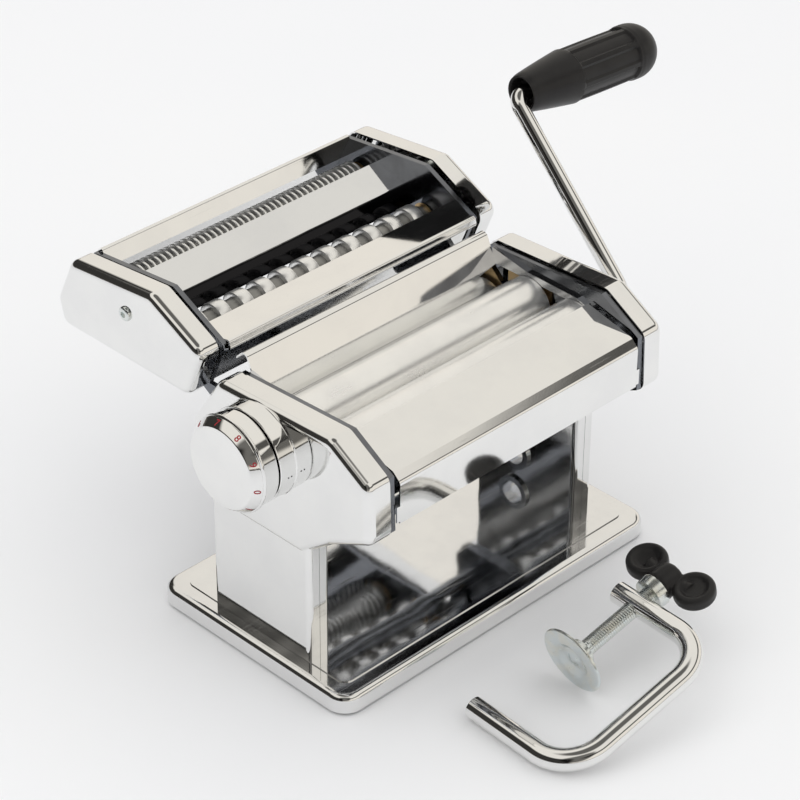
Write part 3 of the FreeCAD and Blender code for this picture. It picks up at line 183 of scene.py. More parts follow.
@dataclass(frozen=True)
class Finish:
    """One surface finish: its colours, gloss, grain, waviness, small wear and an optional
    painted dark reflection (shade_before).
    """

    name: str
    colour: Triple
    second: Triple
    metallic: float = 1.0
    roughness: float = 0.1
    spread: float = 0.05
    mottle: float = 40.0
    grain: float = 900.0
    stretch: Triple = (1.0, 1.0, 1.0)
    grain_depth: float = 0.00002
    wave: float = 30.0
    wave_depth: float = 0.0
    scratches: float = 0.0
    specular: float = 0.5
    shade_before: float = 0.0

    def material(self) -> bpy.types.Material:
        """Build the material, once for each finish.

        Returns:
            The material that carries this finish.
        """
        found = bpy.data.materials.get(self.name)
        if found:
            return found
        made = bpy.data.materials.new(self.name)
        tree = cleared(made)
        place = tree.add("ShaderNodeTexCoord").outputs["Object"]
        drawn = tree.add("ShaderNodeMapping", None, {"Vector": place, "Scale": self.stretch})
        patches = self.noise(tree, place, self.mottle, 4.0)
        grain = self.noise(tree, drawn.outputs[0], self.grain, 3.0)
        rub = self.rub_marks(tree, place)
        roughness = patches.step(0.3, 0.75) * self.spread + rub * 0.12 + self.roughness
        roughness = roughness + (grain - 0.5) * (self.spread * 0.6)
        colour = tree.blend(patches.step(0.35, 0.7), rgba(self.colour), rgba(self.second))
        # Painted dark reflection: where Y is below shade_before the colour turns near-black,
        # standing in for the dark that the middle guard's front slope would mirror.
        if self.shade_before > 0:
            across = tree.add("ShaderNodeSeparateXYZ", None, {0: place}).outputs["Y"]
            reach = Term(tree, across) + (patches - 0.5) * 0.0006
            shaded = 1.0 - reach.step(self.shade_before - 0.0002, self.shade_before + 0.0002)
            colour = tree.blend(shaded, colour, (0.02, 0.02, 0.022, 1.0))
        relief = tree.add("ShaderNodeBump", None, {"Height": grain, "Strength": 0.5,
                                                   "Distance": self.grain_depth})
        normal = relief.outputs[0]
        if self.wave_depth > 0:
            swell = self.noise(tree, place, self.wave, 1.0)
            normal = tree.add("ShaderNodeBump", None, {
                "Height": swell, "Strength": 1.0, "Distance": self.wave_depth,
                "Normal": normal}).outputs[0]
        surface = tree.add("ShaderNodeBsdfPrincipled", None, {
            "Base Color": colour, "Metallic": self.metallic, "Roughness": roughness,
            "Normal": normal, "Specular IOR Level": self.specular})
        tree.add("ShaderNodeOutputMaterial", None, {"Surface": surface.outputs[0]})
        return made

    def noise(self, tree: Tree, place: bpy.types.NodeSocket, scale: float,
              detail: float) -> Term:
        """A noise pattern of one scale."""
        return tree.term("ShaderNodeTexNoise", None, {
            "Vector": place, "Scale": scale, "Detail": detail, "Roughness": 0.6})

    def rub_marks(self, tree: Tree, place: bpy.types.NodeSocket) -> Term:
        """Sparse fine handling marks in two crossing directions."""
        marks = None
        for turn in (0.5, 2.1):
            drawn = tree.add("ShaderNodeMapping", None, {
                "Vector": place, "Rotation": (turn, turn * 0.6, turn * 1.3),
                "Scale": (1.0, 34.0, 34.0)})
            line = self.noise(tree, drawn.outputs[0], 26.0, 1.0).step(0.70, 0.74)
            marks = line if marks is None else marks + line
        return marks * self.scratches


class Finishes(Enum):
    """The finishes of the machine's pieces."""

    CHROME = Finish("polished_chrome", (0.86, 0.86, 0.85), (0.83, 0.83, 0.825), roughness=0.045,
                    spread=0.02, wave=26.0, wave_depth=0.00004, scratches=0.5,
                    grain_depth=0.000004)
    WAVY_CHROME = Finish("pressed_chrome", (0.84, 0.84, 0.835), (0.80, 0.80, 0.80),
                         roughness=0.05, spread=0.025, wave=34.0, wave_depth=0.00022,
                         scratches=0.6, grain_depth=0.000004)
    # Chrome darkened as painted shade for the middle guard, with a painted dark reflection on
    # its front slope (shade_before).
    SHADED_CHROME = Finish("chrome_with_painted_dark_reflection", (0.78, 0.79, 0.80), (0.75, 0.76, 0.775),
                           roughness=0.045, spread=0.02, wave=26.0, wave_depth=0.00004,
                           scratches=0.5, grain_depth=0.000004, shade_before=0.0807)
    FRAME = Finish("bright_frame_steel", (0.66, 0.67, 0.69), (0.60, 0.61, 0.63), roughness=0.10,
                   spread=0.06, wave=30.0, wave_depth=0.00006, scratches=0.8)
    DARK_FRAME = Finish("shaded_frame_steel", (0.20, 0.21, 0.23), (0.15, 0.155, 0.17),
                        roughness=0.12, spread=0.06, wave=30.0, wave_depth=0.00006,
                        scratches=0.8)
    ROLLER = Finish("satin_anodised", (0.90, 0.895, 0.875), (0.85, 0.845, 0.83), metallic=0.85,
                    roughness=0.22, spread=0.06, grain=160.0, stretch=(0.05, 6.0, 6.0),
                    grain_depth=0.00001)
    CUTTER = Finish("turned_slitter", (0.88, 0.875, 0.86), (0.80, 0.80, 0.79), metallic=0.9,
                    roughness=0.26, spread=0.08, grain=220.0, stretch=(5.0, 0.6, 0.6),
                    grain_depth=0.00001)
    GEAR = Finish("cut_gear_steel", (0.42, 0.42, 0.43), (0.34, 0.34, 0.35), roughness=0.34,
                  spread=0.12, scratches=0.8)
    ZINC = Finish("bright_zinc", (0.70, 0.75, 0.76), (0.76, 0.76, 0.70), roughness=0.16,
                  spread=0.12, mottle=140.0, scratches=0.8, wave=120.0, wave_depth=0.00003)
    BLACK = Finish("black_moulding", (0.011, 0.010, 0.010), (0.018, 0.017, 0.016), metallic=0.0,
                   roughness=0.33, spread=0.12, grain=1800.0, grain_depth=0.00004,
                   scratches=0.4, specular=0.28)
    # Painted shade: the slitter core is much darker than the rings so that the gaps between the
    # rings look shaded.
    CORE = Finish("slitter_core_painted_shade", (0.33, 0.325, 0.31), (0.22, 0.22, 0.215), metallic=0.9,
                  roughness=0.36, spread=0.1, grain=220.0, stretch=(5.0, 0.6, 0.6),
                  grain_depth=0.00001)
    BRONZE = Finish("oiled_bronze", (0.62, 0.45, 0.24), (0.50, 0.36, 0.20), roughness=0.3,
                    spread=0.15)
    RUBBER = Finish("foot_rubber", (0.02, 0.02, 0.02), (0.035, 0.035, 0.034), metallic=0.0,
                    roughness=0.7, spread=0.2, grain=1500.0, grain_depth=0.00008)
    DIAL_INK = Finish("dial_ink", (0.34, 0.012, 0.02), (0.25, 0.01, 0.015), metallic=0.0,
                      roughness=0.4, spread=0.1)
    # Painted shade: a near-black finish that stands for the shade inside drilled holes.
    DARK_HOLE = Finish("painted_hole_shade", (0.015, 0.015, 0.015), (0.03, 0.03, 0.03), metallic=0.3,
                       roughness=0.6, spread=0.2)


FINISHED_NODES: dict[Finishes, str] = {
    Finishes.WAVY_CHROME: "base_plate",
    Finishes.RUBBER: "base_feet",
    Finishes.CHROME: "left_cover right_cover front_hopper_plate rear_hopper_plate drive_collar "
                     "crank_rod left_cutter_cover right_cutter_cover front_guard rear_guard "
                     "cutter_collars clamp_bracket left_leg_outer left_leg_inner "
                     "right_leg_outer right_leg_inner",
    Finishes.SHADED_CHROME: "middle_guard",
    Finishes.FRAME: "clamp_socket dough_guides cover_standoffs",
    Finishes.DARK_FRAME: "left_side_frame right_side_frame tie_rods front_scraper rear_scraper "
                         "mounting_rails left_cutter_plate right_cutter_plate wide_comb "
                         "thin_comb",
    Finishes.BRONZE: "roller_bushes left_bearing_block right_bearing_block cutter_bushes",
    Finishes.ROLLER: "front_roller rear_roller",
    Finishes.GEAR: "front_roller_gear rear_roller_gear carriage_tie_bar regulator_shaft "
                   "scroll_disc knob_spring wide_front_cutter_gear wide_rear_cutter_gear "
                   "thin_front_cutter_gear thin_rear_cutter_gear",
    Finishes.ZINC: "clamp_collar",
}
NODE_FINISHES: dict[str, Finishes] = {
    name: finish for finish, names in FINISHED_NODES.items() for name in names.split()}


# ------------------------------------------------------------------ mesh helpers

@dataclass
class Shell:
    """Vertices and faces of one piece while it is being built, in millimetres."""

    points: list[Vector] = field(default_factory=list)
    faces: list[tuple[int, ...]] = field(default_factory=list)

    def loop(self, ring: Iterable[Sequence[float]]) -> list[int]:
        """Add a ring of points and return their numbers."""
        first = len(self.points)
        self.points.extend(Vector(point) for point in ring)
        return list(range(first, len(self.points)))

    def bridge(self, first: list[int], second: list[int]) -> None:
        """Join two closed rings of equal count."""
        count = len(first)
        for index in range(count):
            after = (index + 1) % count
            self.faces.append((first[index], first[after], second[after], second[index]))

    def cap(self, ring: list[int]) -> None:
        """Close a ring with a fan round its centre."""
        centre = sum((self.points[index] for index in ring), Vector()) / len(ring)
        middle = self.loop([centre])[0]
        for index, point in enumerate(ring):
            self.faces.append((point, ring[(index + 1) % len(ring)], middle))

    def chain(self, rings: Iterable[Sequence[Sequence[float]]]) -> list[list[int]]:
        """Add closed rings of equal count, join them in order and return their numbers."""
        numbers = [self.loop(ring) for ring in rings]
        for first, second in zip(numbers, numbers[1:]):
            self.bridge(first, second)
        return numbers

    def loft(self, rings: Iterable[Sequence[Sequence[float]]]) -> None:
        """Join closed rings of equal count in order and close both ends."""
        numbers = self.chain(rings)
        self.cap(numbers[0][::-1])
        self.cap(numbers[-1])

    def piece(self, name: str, place: Matrix, finish: Finishes, smooth: float = 35.0
              ) -> bpy.types.Object:
        """Turn the shell into an object in the machine's frame.

        Args:
            name: the piece's name.
            place: from the shell's own millimetres to the machine's, rotation and shift.
            finish: the finish it gets.
            smooth: edges sharper than this angle, in degrees, stay crisp.

        Returns:
            The finished mesh object.
        """
        mesh = bpy.data.meshes.new(name)
        turned = [(place @ point) * MM for point in self.points]
        mesh.from_pydata([tuple(point) for point in turned], [], self.faces)
        return finish_mesh(name, mesh, finish, smooth)


def add_object(name: str, data: Optional[bpy.types.ID]) -> bpy.types.Object:
    """Make an object and link it to the scene."""
    made = bpy.data.objects.new(name, data)
    bpy.context.scene.collection.objects.link(made)
    return made


def plain_mesh(holder: bpy.types.Object) -> bpy.types.Mesh:
    """The evaluated shape of an object as a mesh of its own."""
    bpy.context.view_layer.update()
    graph = bpy.context.evaluated_depsgraph_get()
    return bpy.data.meshes.new_from_object(holder.evaluated_get(graph))


def finish_mesh(name: str, mesh: bpy.types.Mesh, finish: Finishes, smooth: float = 35.0
                ) -> bpy.types.Object:
    """Clean a mesh, turn its faces outwards and make it an object.

    Args:
        name: the piece's name.
        mesh: the mesh, in metres in the machine's frame.
        finish: the finish it gets.
        smooth: edges sharper than this angle, in degrees, stay crisp.

    Returns:
        The object, linked to the scene.
    """
    work = bmesh.new()
    work.from_mesh(mesh)
    bmesh.ops.remove_doubles(work, verts=work.verts, dist=1e-7)
    bmesh.ops.recalc_face_normals(work, faces=work.faces)
    limit = math.radians(smooth)
    for face in work.faces:
        face.smooth = True
    for edge in work.edges:
        edge.smooth = edge.is_manifold and edge.calc_face_angle(0.0) < limit
    work.to_mesh(mesh)
    work.free()
    mesh.materials.clear()
    mesh.materials.append(finish.value.material())
    return add_object(name, mesh)


def circle(radius: float, height: float, count: int) -> list[Triple]:
    """Points of a circle round the local Z axis."""
    return [(radius * math.cos(TURN * index / count), radius * math.sin(TURN * index / count),
             height) for index in range(count)]


def rounded(profile: Sequence[tuple[float, ...]], steps: int = 4) -> list[Pair]:
    """Round the corners of an open profile.

    Args:
        profile: (height, radius) corners, each with an optional rounding radius.
        steps: points in each rounded corner.

    Returns:
        The profile with its corners replaced by short arcs.
    """
    result: list[Pair] = []
    for index, corner in enumerate(profile):
        here = Vector(corner[:2])
        size = corner[2] if len(corner) > 2 else 0.0
        if size <= 0 or index in (0, len(profile) - 1):
            result.append((here.x, here.y))
            continue
        before = Vector(profile[index - 1][:2]) - here
        after = Vector(profile[index + 1][:2]) - here
        back = min(size, before.length * 0.49, after.length * 0.49)
        first = here + before.normalized() * back
        last = here + after.normalized() * back
        for step in range(steps + 1):
            t = step / steps
            spot = first * (1 - t) ** 2 + here * (2 * t * (1 - t)) + last * t * t
            result.append((spot.x, spot.y))
    return result


def lathe(profile: Sequence[Pair], count: int = 96) -> Shell:
    """A turned piece round the local Z axis; the profile holds (height, radius)."""
    shell = Shell()
    rings = shell.chain(circle(max(radius, POLE), height, count) for height, radius in profile)
    for ring in (rings[0][::-1], rings[-1]):
        if profile[0 if ring[0] > ring[-1] else -1][1] < 0.01:
            continue
        shell.cap(ring)
    return shell


def along_x(x: float, y: float, z: float) -> Matrix:
    """From a local Z axis to the machine's X axis, through a point."""
    return Matrix.Translation((x, y, z)) @ Matrix.Rotation(math.pi / 2, 4, "Y")


def axes(origin: Sequence[float], first: Vector, up: Vector) -> Matrix:
    """A frame with its own Z along up and its own X near first."""
    third = up.normalized()
    side = (first - third * first.dot(third)).normalized()
    other = third.cross(side)
    turn = Matrix((side, other, third)).transposed().to_4x4()
    return Matrix.Translation(origin) @ turn


def seat(made: bpy.types.Object, body: str, slot: str, *stands_for: str) -> bpy.types.Object:
    """Fasten a piece to a body and hide what it stands for.

    Args:
        made: the piece.
        body: the body it rides on.
        slot: the record's material slot; not used.
        stands_for: CAD nodes that it replaces.

    Returns:
        The same piece.
    """
    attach(made, body)
    if stands_for:
        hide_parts(*stands_for)
    LOG.info("%s rides on %s", made.name, body)
    return made


# ------------------------------------------------------------------ Geometry Nodes

class Pattern:
    """A Geometry Nodes tree with named size inputs that ends as one plain mesh."""

    def __init__(self, name: str, sizes: dict[str, float]) -> None:
        """Start a tree whose inputs are the given sizes, in metres or counts."""
        self.name = name
        self.group = bpy.data.node_groups.new(name, "GeometryNodeTree")
        face = self.group.interface
        face.new_socket(name="Geometry", in_out="OUTPUT", socket_type="NodeSocketGeometry")
        self.identifiers: dict[str, str] = {}
        self.sizes = sizes
        for label, value in sizes.items():
            kind = "NodeSocketInt" if isinstance(value, int) else "NodeSocketFloat"
            made = face.new_socket(name=label, in_out="INPUT", socket_type=kind)
            self.identifiers[label] = made.identifier
        self.tree = Tree(self.group)
        self.given = self.tree.add("NodeGroupInput")

    def size(self, label: str) -> Term:
        """One named input as a Term."""
        return Term(self.tree, self.given.outputs[label])

    def vector(self, x: Any = 0.0, y: Any = 0.0, z: Any = 0.0) -> bpy.types.NodeSocket:
        """A vector from numbers or Terms."""
        return self.tree.add("ShaderNodeCombineXYZ", None, {0: x, 1: y, 2: z}).outputs[0]

    def mesh(self, geometry: bpy.types.NodeSocket, finish: Finishes) -> bpy.types.Mesh:
        """Close the tree, evaluate it and return its mesh.

        Args:
            geometry: the last geometry socket.
            finish: the finish that Set Material gives.

        Returns:
            A plain mesh, with the modifier gone.
        """
        real = self.tree.add("GeometryNodeRealizeInstances", None, {0: geometry})
        dressed = self.tree.add("GeometryNodeSetMaterial", None,
                                {"Geometry": real.outputs[0],
                                 "Material": finish.value.material()})
        self.tree.add("NodeGroupOutput", None, {0: dressed.outputs[0]})
        holder = add_object(self.name, bpy.data.meshes.new(self.name))
        modifier = holder.modifiers.new(self.name, "NODES")
        modifier.node_group = self.group
        for label, value in self.sizes.items():
            modifier[self.identifiers[label]] = value
        result = plain_mesh(holder)
        holder.modifiers.remove(modifier)
        bpy.data.objects.remove(holder)
        return result


def ring_row(name: str, count: int, pitch: float, width: float, radius: float, core: float,
             finish: Finishes) -> bpy.types.Mesh:
    """A row of rounded rings along X, made with Geometry Nodes.

    Args:
        name: the tree's name.
        count: rings in the row.
        pitch: spacing, in millimetres.
        width: width of one ring, in millimetres.
        radius: outer radius, in millimetres.
        core: inner radius, in millimetres.
        finish: the rings' finish.

    Returns:
        The rings as one mesh, centred on the origin.
    """
    pattern = Pattern(name, {"Count": int(count), "Pitch": pitch * MM, "Width": width * MM,
                             "Outer": radius * MM, "Inner": core * MM,
                             "Edge": min(0.35, width * 0.22) * MM, "Segments": 40})
    tree = pattern.tree
    outer, inner = pattern.size("Outer"), pattern.size("Inner")
    section = tree.add("GeometryNodeCurvePrimitiveQuadrilateral", None,
                       {"Width": outer - inner, "Height": pattern.size("Width")})
    soft = tree.add("GeometryNodeFilletCurve", {"mode": "POLY"},
                    {"Curve": section.outputs[0], "Radius": pattern.size("Edge"),
                     "Limit Radius": True, "Count": 2})
    path = tree.add("GeometryNodeCurvePrimitiveCircle", None,
                    {"Resolution": pattern.size("Segments"), "Radius": (outer + inner) * 0.5})
    ring = tree.add("GeometryNodeCurveToMesh", None,
                    {"Curve": path.outputs[0], "Profile Curve": soft.outputs[0]})
    upright = tree.add("GeometryNodeTransform", None,
                       {"Geometry": ring.outputs[0], "Rotation": (0.0, math.pi / 2, 0.0)})
    length = (pattern.size("Count") - 1.0) * pattern.size("Pitch")
    start = pattern.vector(x=length * -0.5)
    step = pattern.vector(x=pattern.size("Pitch"))
    row = tree.add("GeometryNodeMeshLine", {"mode": "OFFSET", "count_mode": "TOTAL"},
                   {"Count": pattern.size("Count"), "Start Location": start, "Offset": step})
    spread = tree.add("GeometryNodeInstanceOnPoints", None,
                      {"Points": row.outputs[0], "Instance": upright.outputs[0]})
    return pattern.mesh(spread.outputs[0], finish)


# ------------------------------------------------------------------ sub-assemblies

@dataclass
class CutterSet:
    """The four slitting rollers: turned cores with rows of rounded rings."""

    radius: float = 8.5
    core: float = 5.9
    journal: float = 4.9
    half: float = 75.0
    left: float = -79.7
    gear_end: float = 88.2
    drive_end: float = 97.0
    socket: float = 2.8
    depth: float = 23.0
    clearance: float = 0.12
    apart: float = 16.1
    sides: int = 48

    def build(self) -> None:
        """Build and seat all four rollers."""
        pairs = (("wide", 68.0, 129.5, 13.5, 11), ("thin", 112.0, 134.1, 3.4, 44))
        for kind, y, z, pitch, count in pairs:
            self.roller(kind, "rear", y, z, pitch, count)
            self.roller(kind, "front", y - self.apart, z, pitch, count - 1)

    def roller(self, kind: str, row: str, y: float, z: float, pitch: float, rings: int) -> None:
        """Build one roller: its core and journals, then its rings.

        Args:
            kind: wide or thin.
            row: front or rear.
            y: axis place in millimetres.
            z: axis height in millimetres.
            pitch: ring spacing.
            rings: ring count.
        """
        body = f"{kind}_{row}_slitter"
        node = f"{kind}_{row}_cutter"
        right = self.drive_end if row == "rear" else self.gear_end
        profile = rounded([(self.left, 0.0), (self.left, self.journal, 0.4),
                           (-self.half, self.journal), (-self.half, self.core, 0.2),
                           (self.half, self.core, 0.2), (self.half, self.journal),
                           (right, self.journal, 0.4), (right, 4.2)])
        shell = Shell()
        loops = shell.chain(circle(max(r, POLE), h, self.sides) for h, r in profile)
        if row == "rear":
            mouth = shell.loop(self.square(right))
            floor = shell.loop(self.square(right - self.depth))
            shell.bridge(loops[-1], mouth)
            shell.bridge(mouth, floor)
            shell.cap(floor)
        else:
            shell.cap(loops[-1])
        # The core's dark finish is painted shade for the gaps between the rings.
        core = shell.piece(f"{node}_core", along_x(0.0, y, z), Finishes.CORE, 40.0)
        seat(core, body, "roller_metal", node)
        width = pitch / 2 - self.clearance * 2
        mesh = ring_row(f"{node}_rings", rings, pitch, width, self.radius, self.core - 0.4,
                        Finishes.CUTTER)
        mesh.transform(Matrix.Translation((0.0, y * MM, z * MM)))
        made = finish_mesh(f"{node}_rings", mesh, Finishes.CUTTER, 40.0)
        seat(made, body, "roller_metal")

    def square(self, height: float) -> list[Triple]:
        """A square outline with as many points as the journal's circle."""
        points = []
        for x, y, _ in circle(1.0, 0.0, self.sides):
            scale = self.socket / max(abs(x), abs(y))
            points.append((x * scale, y * scale, height))
        return points


@dataclass
class Regulator:
    """The thickness knob with its numbers, and the fixed collar that it turns against."""

    face: float = 117.3
    near: float = 103.0
    rim: float = 23.0
    disc: float = 19.4
    barrel: float = 22.2
    bore: float = 5.3
    wall: float = 3.0
    cavity: float = 9.0
    collar_near: float = 93.3
    collar_far: float = 102.3
    collar: float = 22.3
    letter: float = 4.455
    thick: float = 0.06
    numbers: int = 10
    first_number: float = 8.0
    bevel: float = 4.05
    sides: int = 144

    def build(self) -> None:
        """Build and seat the knob, its numbers and the collar."""
        place = along_x(0.0, REAR_Y, DRIVE_Z)
        face = -self.face
        knob = rounded([
            (face, 0.0), (face + 0.15, self.disc * 0.6), (face + 0.55, self.disc, 0.5),
            (face + 4.6, self.rim - 0.6, 0.3), (face + 4.9, self.rim - 0.9, 0.1),
            (face + 5.2, self.rim - 0.6, 0.2), (face + 5.5, self.rim, 0.3),
            (face + 6.6, self.rim, 0.3), (face + 6.9, self.barrel, 0.2),
            (-self.near - 0.1, self.barrel, 0.9), (-self.near, 17.2), (-self.near, 16.9, 0.2),
            (-self.near - 2.4, 16.8), (-self.near - 2.4, 13.2), (-self.near, 13.1, 0.2),
            (-self.near, self.bore), (-self.near - self.wall, self.bore),
            (-self.near - self.wall, self.cavity), (face + 1.4, self.cavity),
            (face + 1.4, 0.0)])
        made = lathe(knob, self.sides).piece("thickness_knob", place, Finishes.CHROME, 28.0)
        seat(made, "knob", "chrome", "regulator_knob")
        self.dial()
        outer = -self.collar_far
        collar = rounded([
            (-90.0, 5.1), (-90.0, 8.0), (-self.collar_near + 0.02, 8.0),
            (-self.collar_near + 0.02, self.collar + 0.5),
            (-self.collar_near - 0.5, self.collar, 0.4),
            (outer, self.collar, 0.5), (outer, 16.6), (outer, 5.1), (-90.0, 5.1)])
        made = lathe(collar, self.sides).piece("thickness_collar", place, Finishes.CHROME, 28.0)
        seat(made, "machine_body", "chrome", "knob_collar")
        self.marks()

    def dial(self) -> None:
        """Numbers on the knob's bevel, one for each setting."""
        slope = math.atan2(self.rim - 0.6 - self.disc, self.bevel)
        joined: list[bpy.types.Mesh] = []
        for number in range(self.numbers):
            curve = bpy.data.curves.new(f"number_{number}", "FONT")
            curve.body = str(number)
            curve.size = self.letter * MM
            curve.align_x = "CENTER"
            curve.align_y = "CENTER"
            curve.extrude = self.thick * MM
            curve.offset = self.thick * MM
            curve.resolution_u = 3
            holder = add_object(curve.name, curve)
            mesh = plain_mesh(holder)
            bpy.data.objects.remove(holder)
            around = TURN * number / self.numbers + math.radians(self.first_number)
            radial = Vector((0.0, -math.cos(around), -math.sin(around)))
            outward = Vector((-math.sin(slope), 0.0, 0.0)) + radial * math.cos(slope)
            upward = Vector((math.cos(slope), 0.0, 0.0)) + radial * math.sin(slope)
            right = upward.cross(outward)
            spot = (Vector((-self.face + 2.55, REAR_Y, DRIVE_Z))
                    + radial * (self.disc + self.rim - 0.6) / 2) * MM
            turn = Matrix((right, upward, outward)).transposed().to_4x4()
            mesh.transform(Matrix.Translation(spot) @ turn)
            joined.append(mesh)
        made = finish_mesh("dial_numbers", merge_meshes("dial_numbers", joined),
                           Finishes.DIAL_INK, 20.0)
        seat(made, "knob", "chrome")

    def marks(self) -> None:
        """Two small drilled index dots on the collar, drawn as flush near-black discs: painted
        shade for the holes.
        """
        shell = Shell()
        for shift in (-0.9, 0.9):
            rings = []
            for depth, radius in ((-0.4, 0.45), (0.03, 0.45), (0.05, 0.3)):
                rings.append([(x + shift, y, self.collar + depth)
                              for x, y, _ in circle(radius, 0.0, 12)])
            shell.loft(rings)
        turn = Matrix.Rotation(math.pi / 2 + math.radians(self.first_number), 4, "X")
        place = Matrix.Translation((-97.0, REAR_Y, DRIVE_Z)) @ turn
        made = shell.piece("index_dots", place, Finishes.DARK_HOLE)
        seat(made, "machine_body", "chrome")


def merge_meshes(name: str, meshes: Sequence[bpy.types.Mesh]) -> bpy.types.Mesh:
    """Join several meshes into one."""
    work = bmesh.new()
    for mesh in meshes:
        work.from_mesh(mesh)
    result = bpy.data.meshes.new(name)
    work.to_mesh(result)
    work.free()
    return result


@dataclass
class Grip:
    """The crank's plastic grip: narrow mouth, flare, sunk panels and a rounded cap."""

    origin: Triple = (110.0, 42.424, 190.857)
    axis: Triple = (0.998630, -0.036158, -0.037837)
    start: float = 4.6
    length: float = 82.0
    small: float = 9.0
    large: float = 13.7
    flare: float = 29.0
    cap: float = 13.0
    panels: int = 8
    recess: float = 7.4
    rod: float = 4.15
    mouth_floor: float = 7.0
    mouth_round: float = 0.3
    count: int = 160

    def radius(self, height: float, turn: float) -> float:
        """Outer radius at a height from the mouth and a share of a turn.

        Args:
            height: distance from the mouth.
            turn: place round the axis, from 0 to 1.

        Returns:
            The radius in millimetres.
        """
        cap_start = self.length - self.cap
        if height <= self.flare:
            share = height / self.flare
            base = self.small + (self.large - 0.3 - self.small) * (share ** 0.85)
        else:
            share = (height - self.flare) / (cap_start - self.flare)
            base = self.large - 0.3 + 0.15 * math.sin(math.pi * min(share, 1.0))
        if height > cap_start:
            past = (height - cap_start) / self.cap
            return self.large * math.sqrt(max(1 - max(past - 0.28, 0.0) ** 2 * 0.9, 0.02))
        if height <= self.flare:
            return base
        place = abs((turn * self.panels) % 1.0 - 0.5) * 2
        panel = 1 - smooth_step(0.62, 0.78, place)
        ends = smooth_step(self.flare, self.flare + 1.2, height) * (
            1 - smooth_step(cap_start - 2.0, cap_start - 0.6, height))
        return base - ends * (0.35 + 1.05 * panel)

    def build(self) -> None:
        """Build and seat the grip."""
        shell = Shell()
        heights = [self.flare * index / 14 for index in range(15)]
        heights += [self.flare + 0.3 + 0.3 * index for index in range(5)]
        cap_start = self.length - self.cap
        heights += [self.flare + 3 + (cap_start - 6 - self.flare) * index / 10
                    for index in range(11)]
        heights += [cap_start - 2.4 + 0.3 * index for index in range(8)]
        heights += [cap_start + self.cap * index / 14 for index in range(15)]
        heights = sorted(set(round(height, 4) for height in heights))
        rings = [self.ring(self.mouth_floor, self.rod), self.ring(self.mouth_floor, 7.0),
                 self.ring(0.6, self.recess), self.ring(0.15, self.recess + 0.35),
                 self.ring(0.0, inset=self.mouth_round)]
        rings += [self.ring(height) for height in heights[1:]]
        edge = self.radius(heights[-1], 0.0)
        rings += [self.ring(heights[-1], edge * share) for share in (0.93, 0.8, 0.4)]
        shell.loft(rings)
        place = axes(self.origin, Vector((0, 0, 1)), Vector(self.axis))
        made = shell.piece("grip_moulding", place, Finishes.BLACK, 32.0)
        seat(made, "grip", "black_plastic", "crank_grip")

    def ring(self, height: float, radius: Optional[float] = None, inset: float = 0.0
             ) -> list[Triple]:
        """One ring of the grip.

        Args:
            height: distance from the mouth.
            radius: a plain circle's radius, or None for the moulding's own outline.
            inset: how far the outline is drawn in.

        Returns:
            The ring's points.
        """
        points = []
        for index in range(self.count):
            share = index / self.count
            size = self.radius(height, share) - inset if radius is None else radius
            points.append((size * math.cos(TURN * share), size * math.sin(TURN * share),
                           self.start + height))
        return points


def smooth_step(low: float, high: float, value: float) -> float:
    """Smooth ramp from 0 at low to 1 at high."""
    share = min(max((value - low) / (high - low), 0.0), 1.0)
    return share * share * (3 - 2 * share)


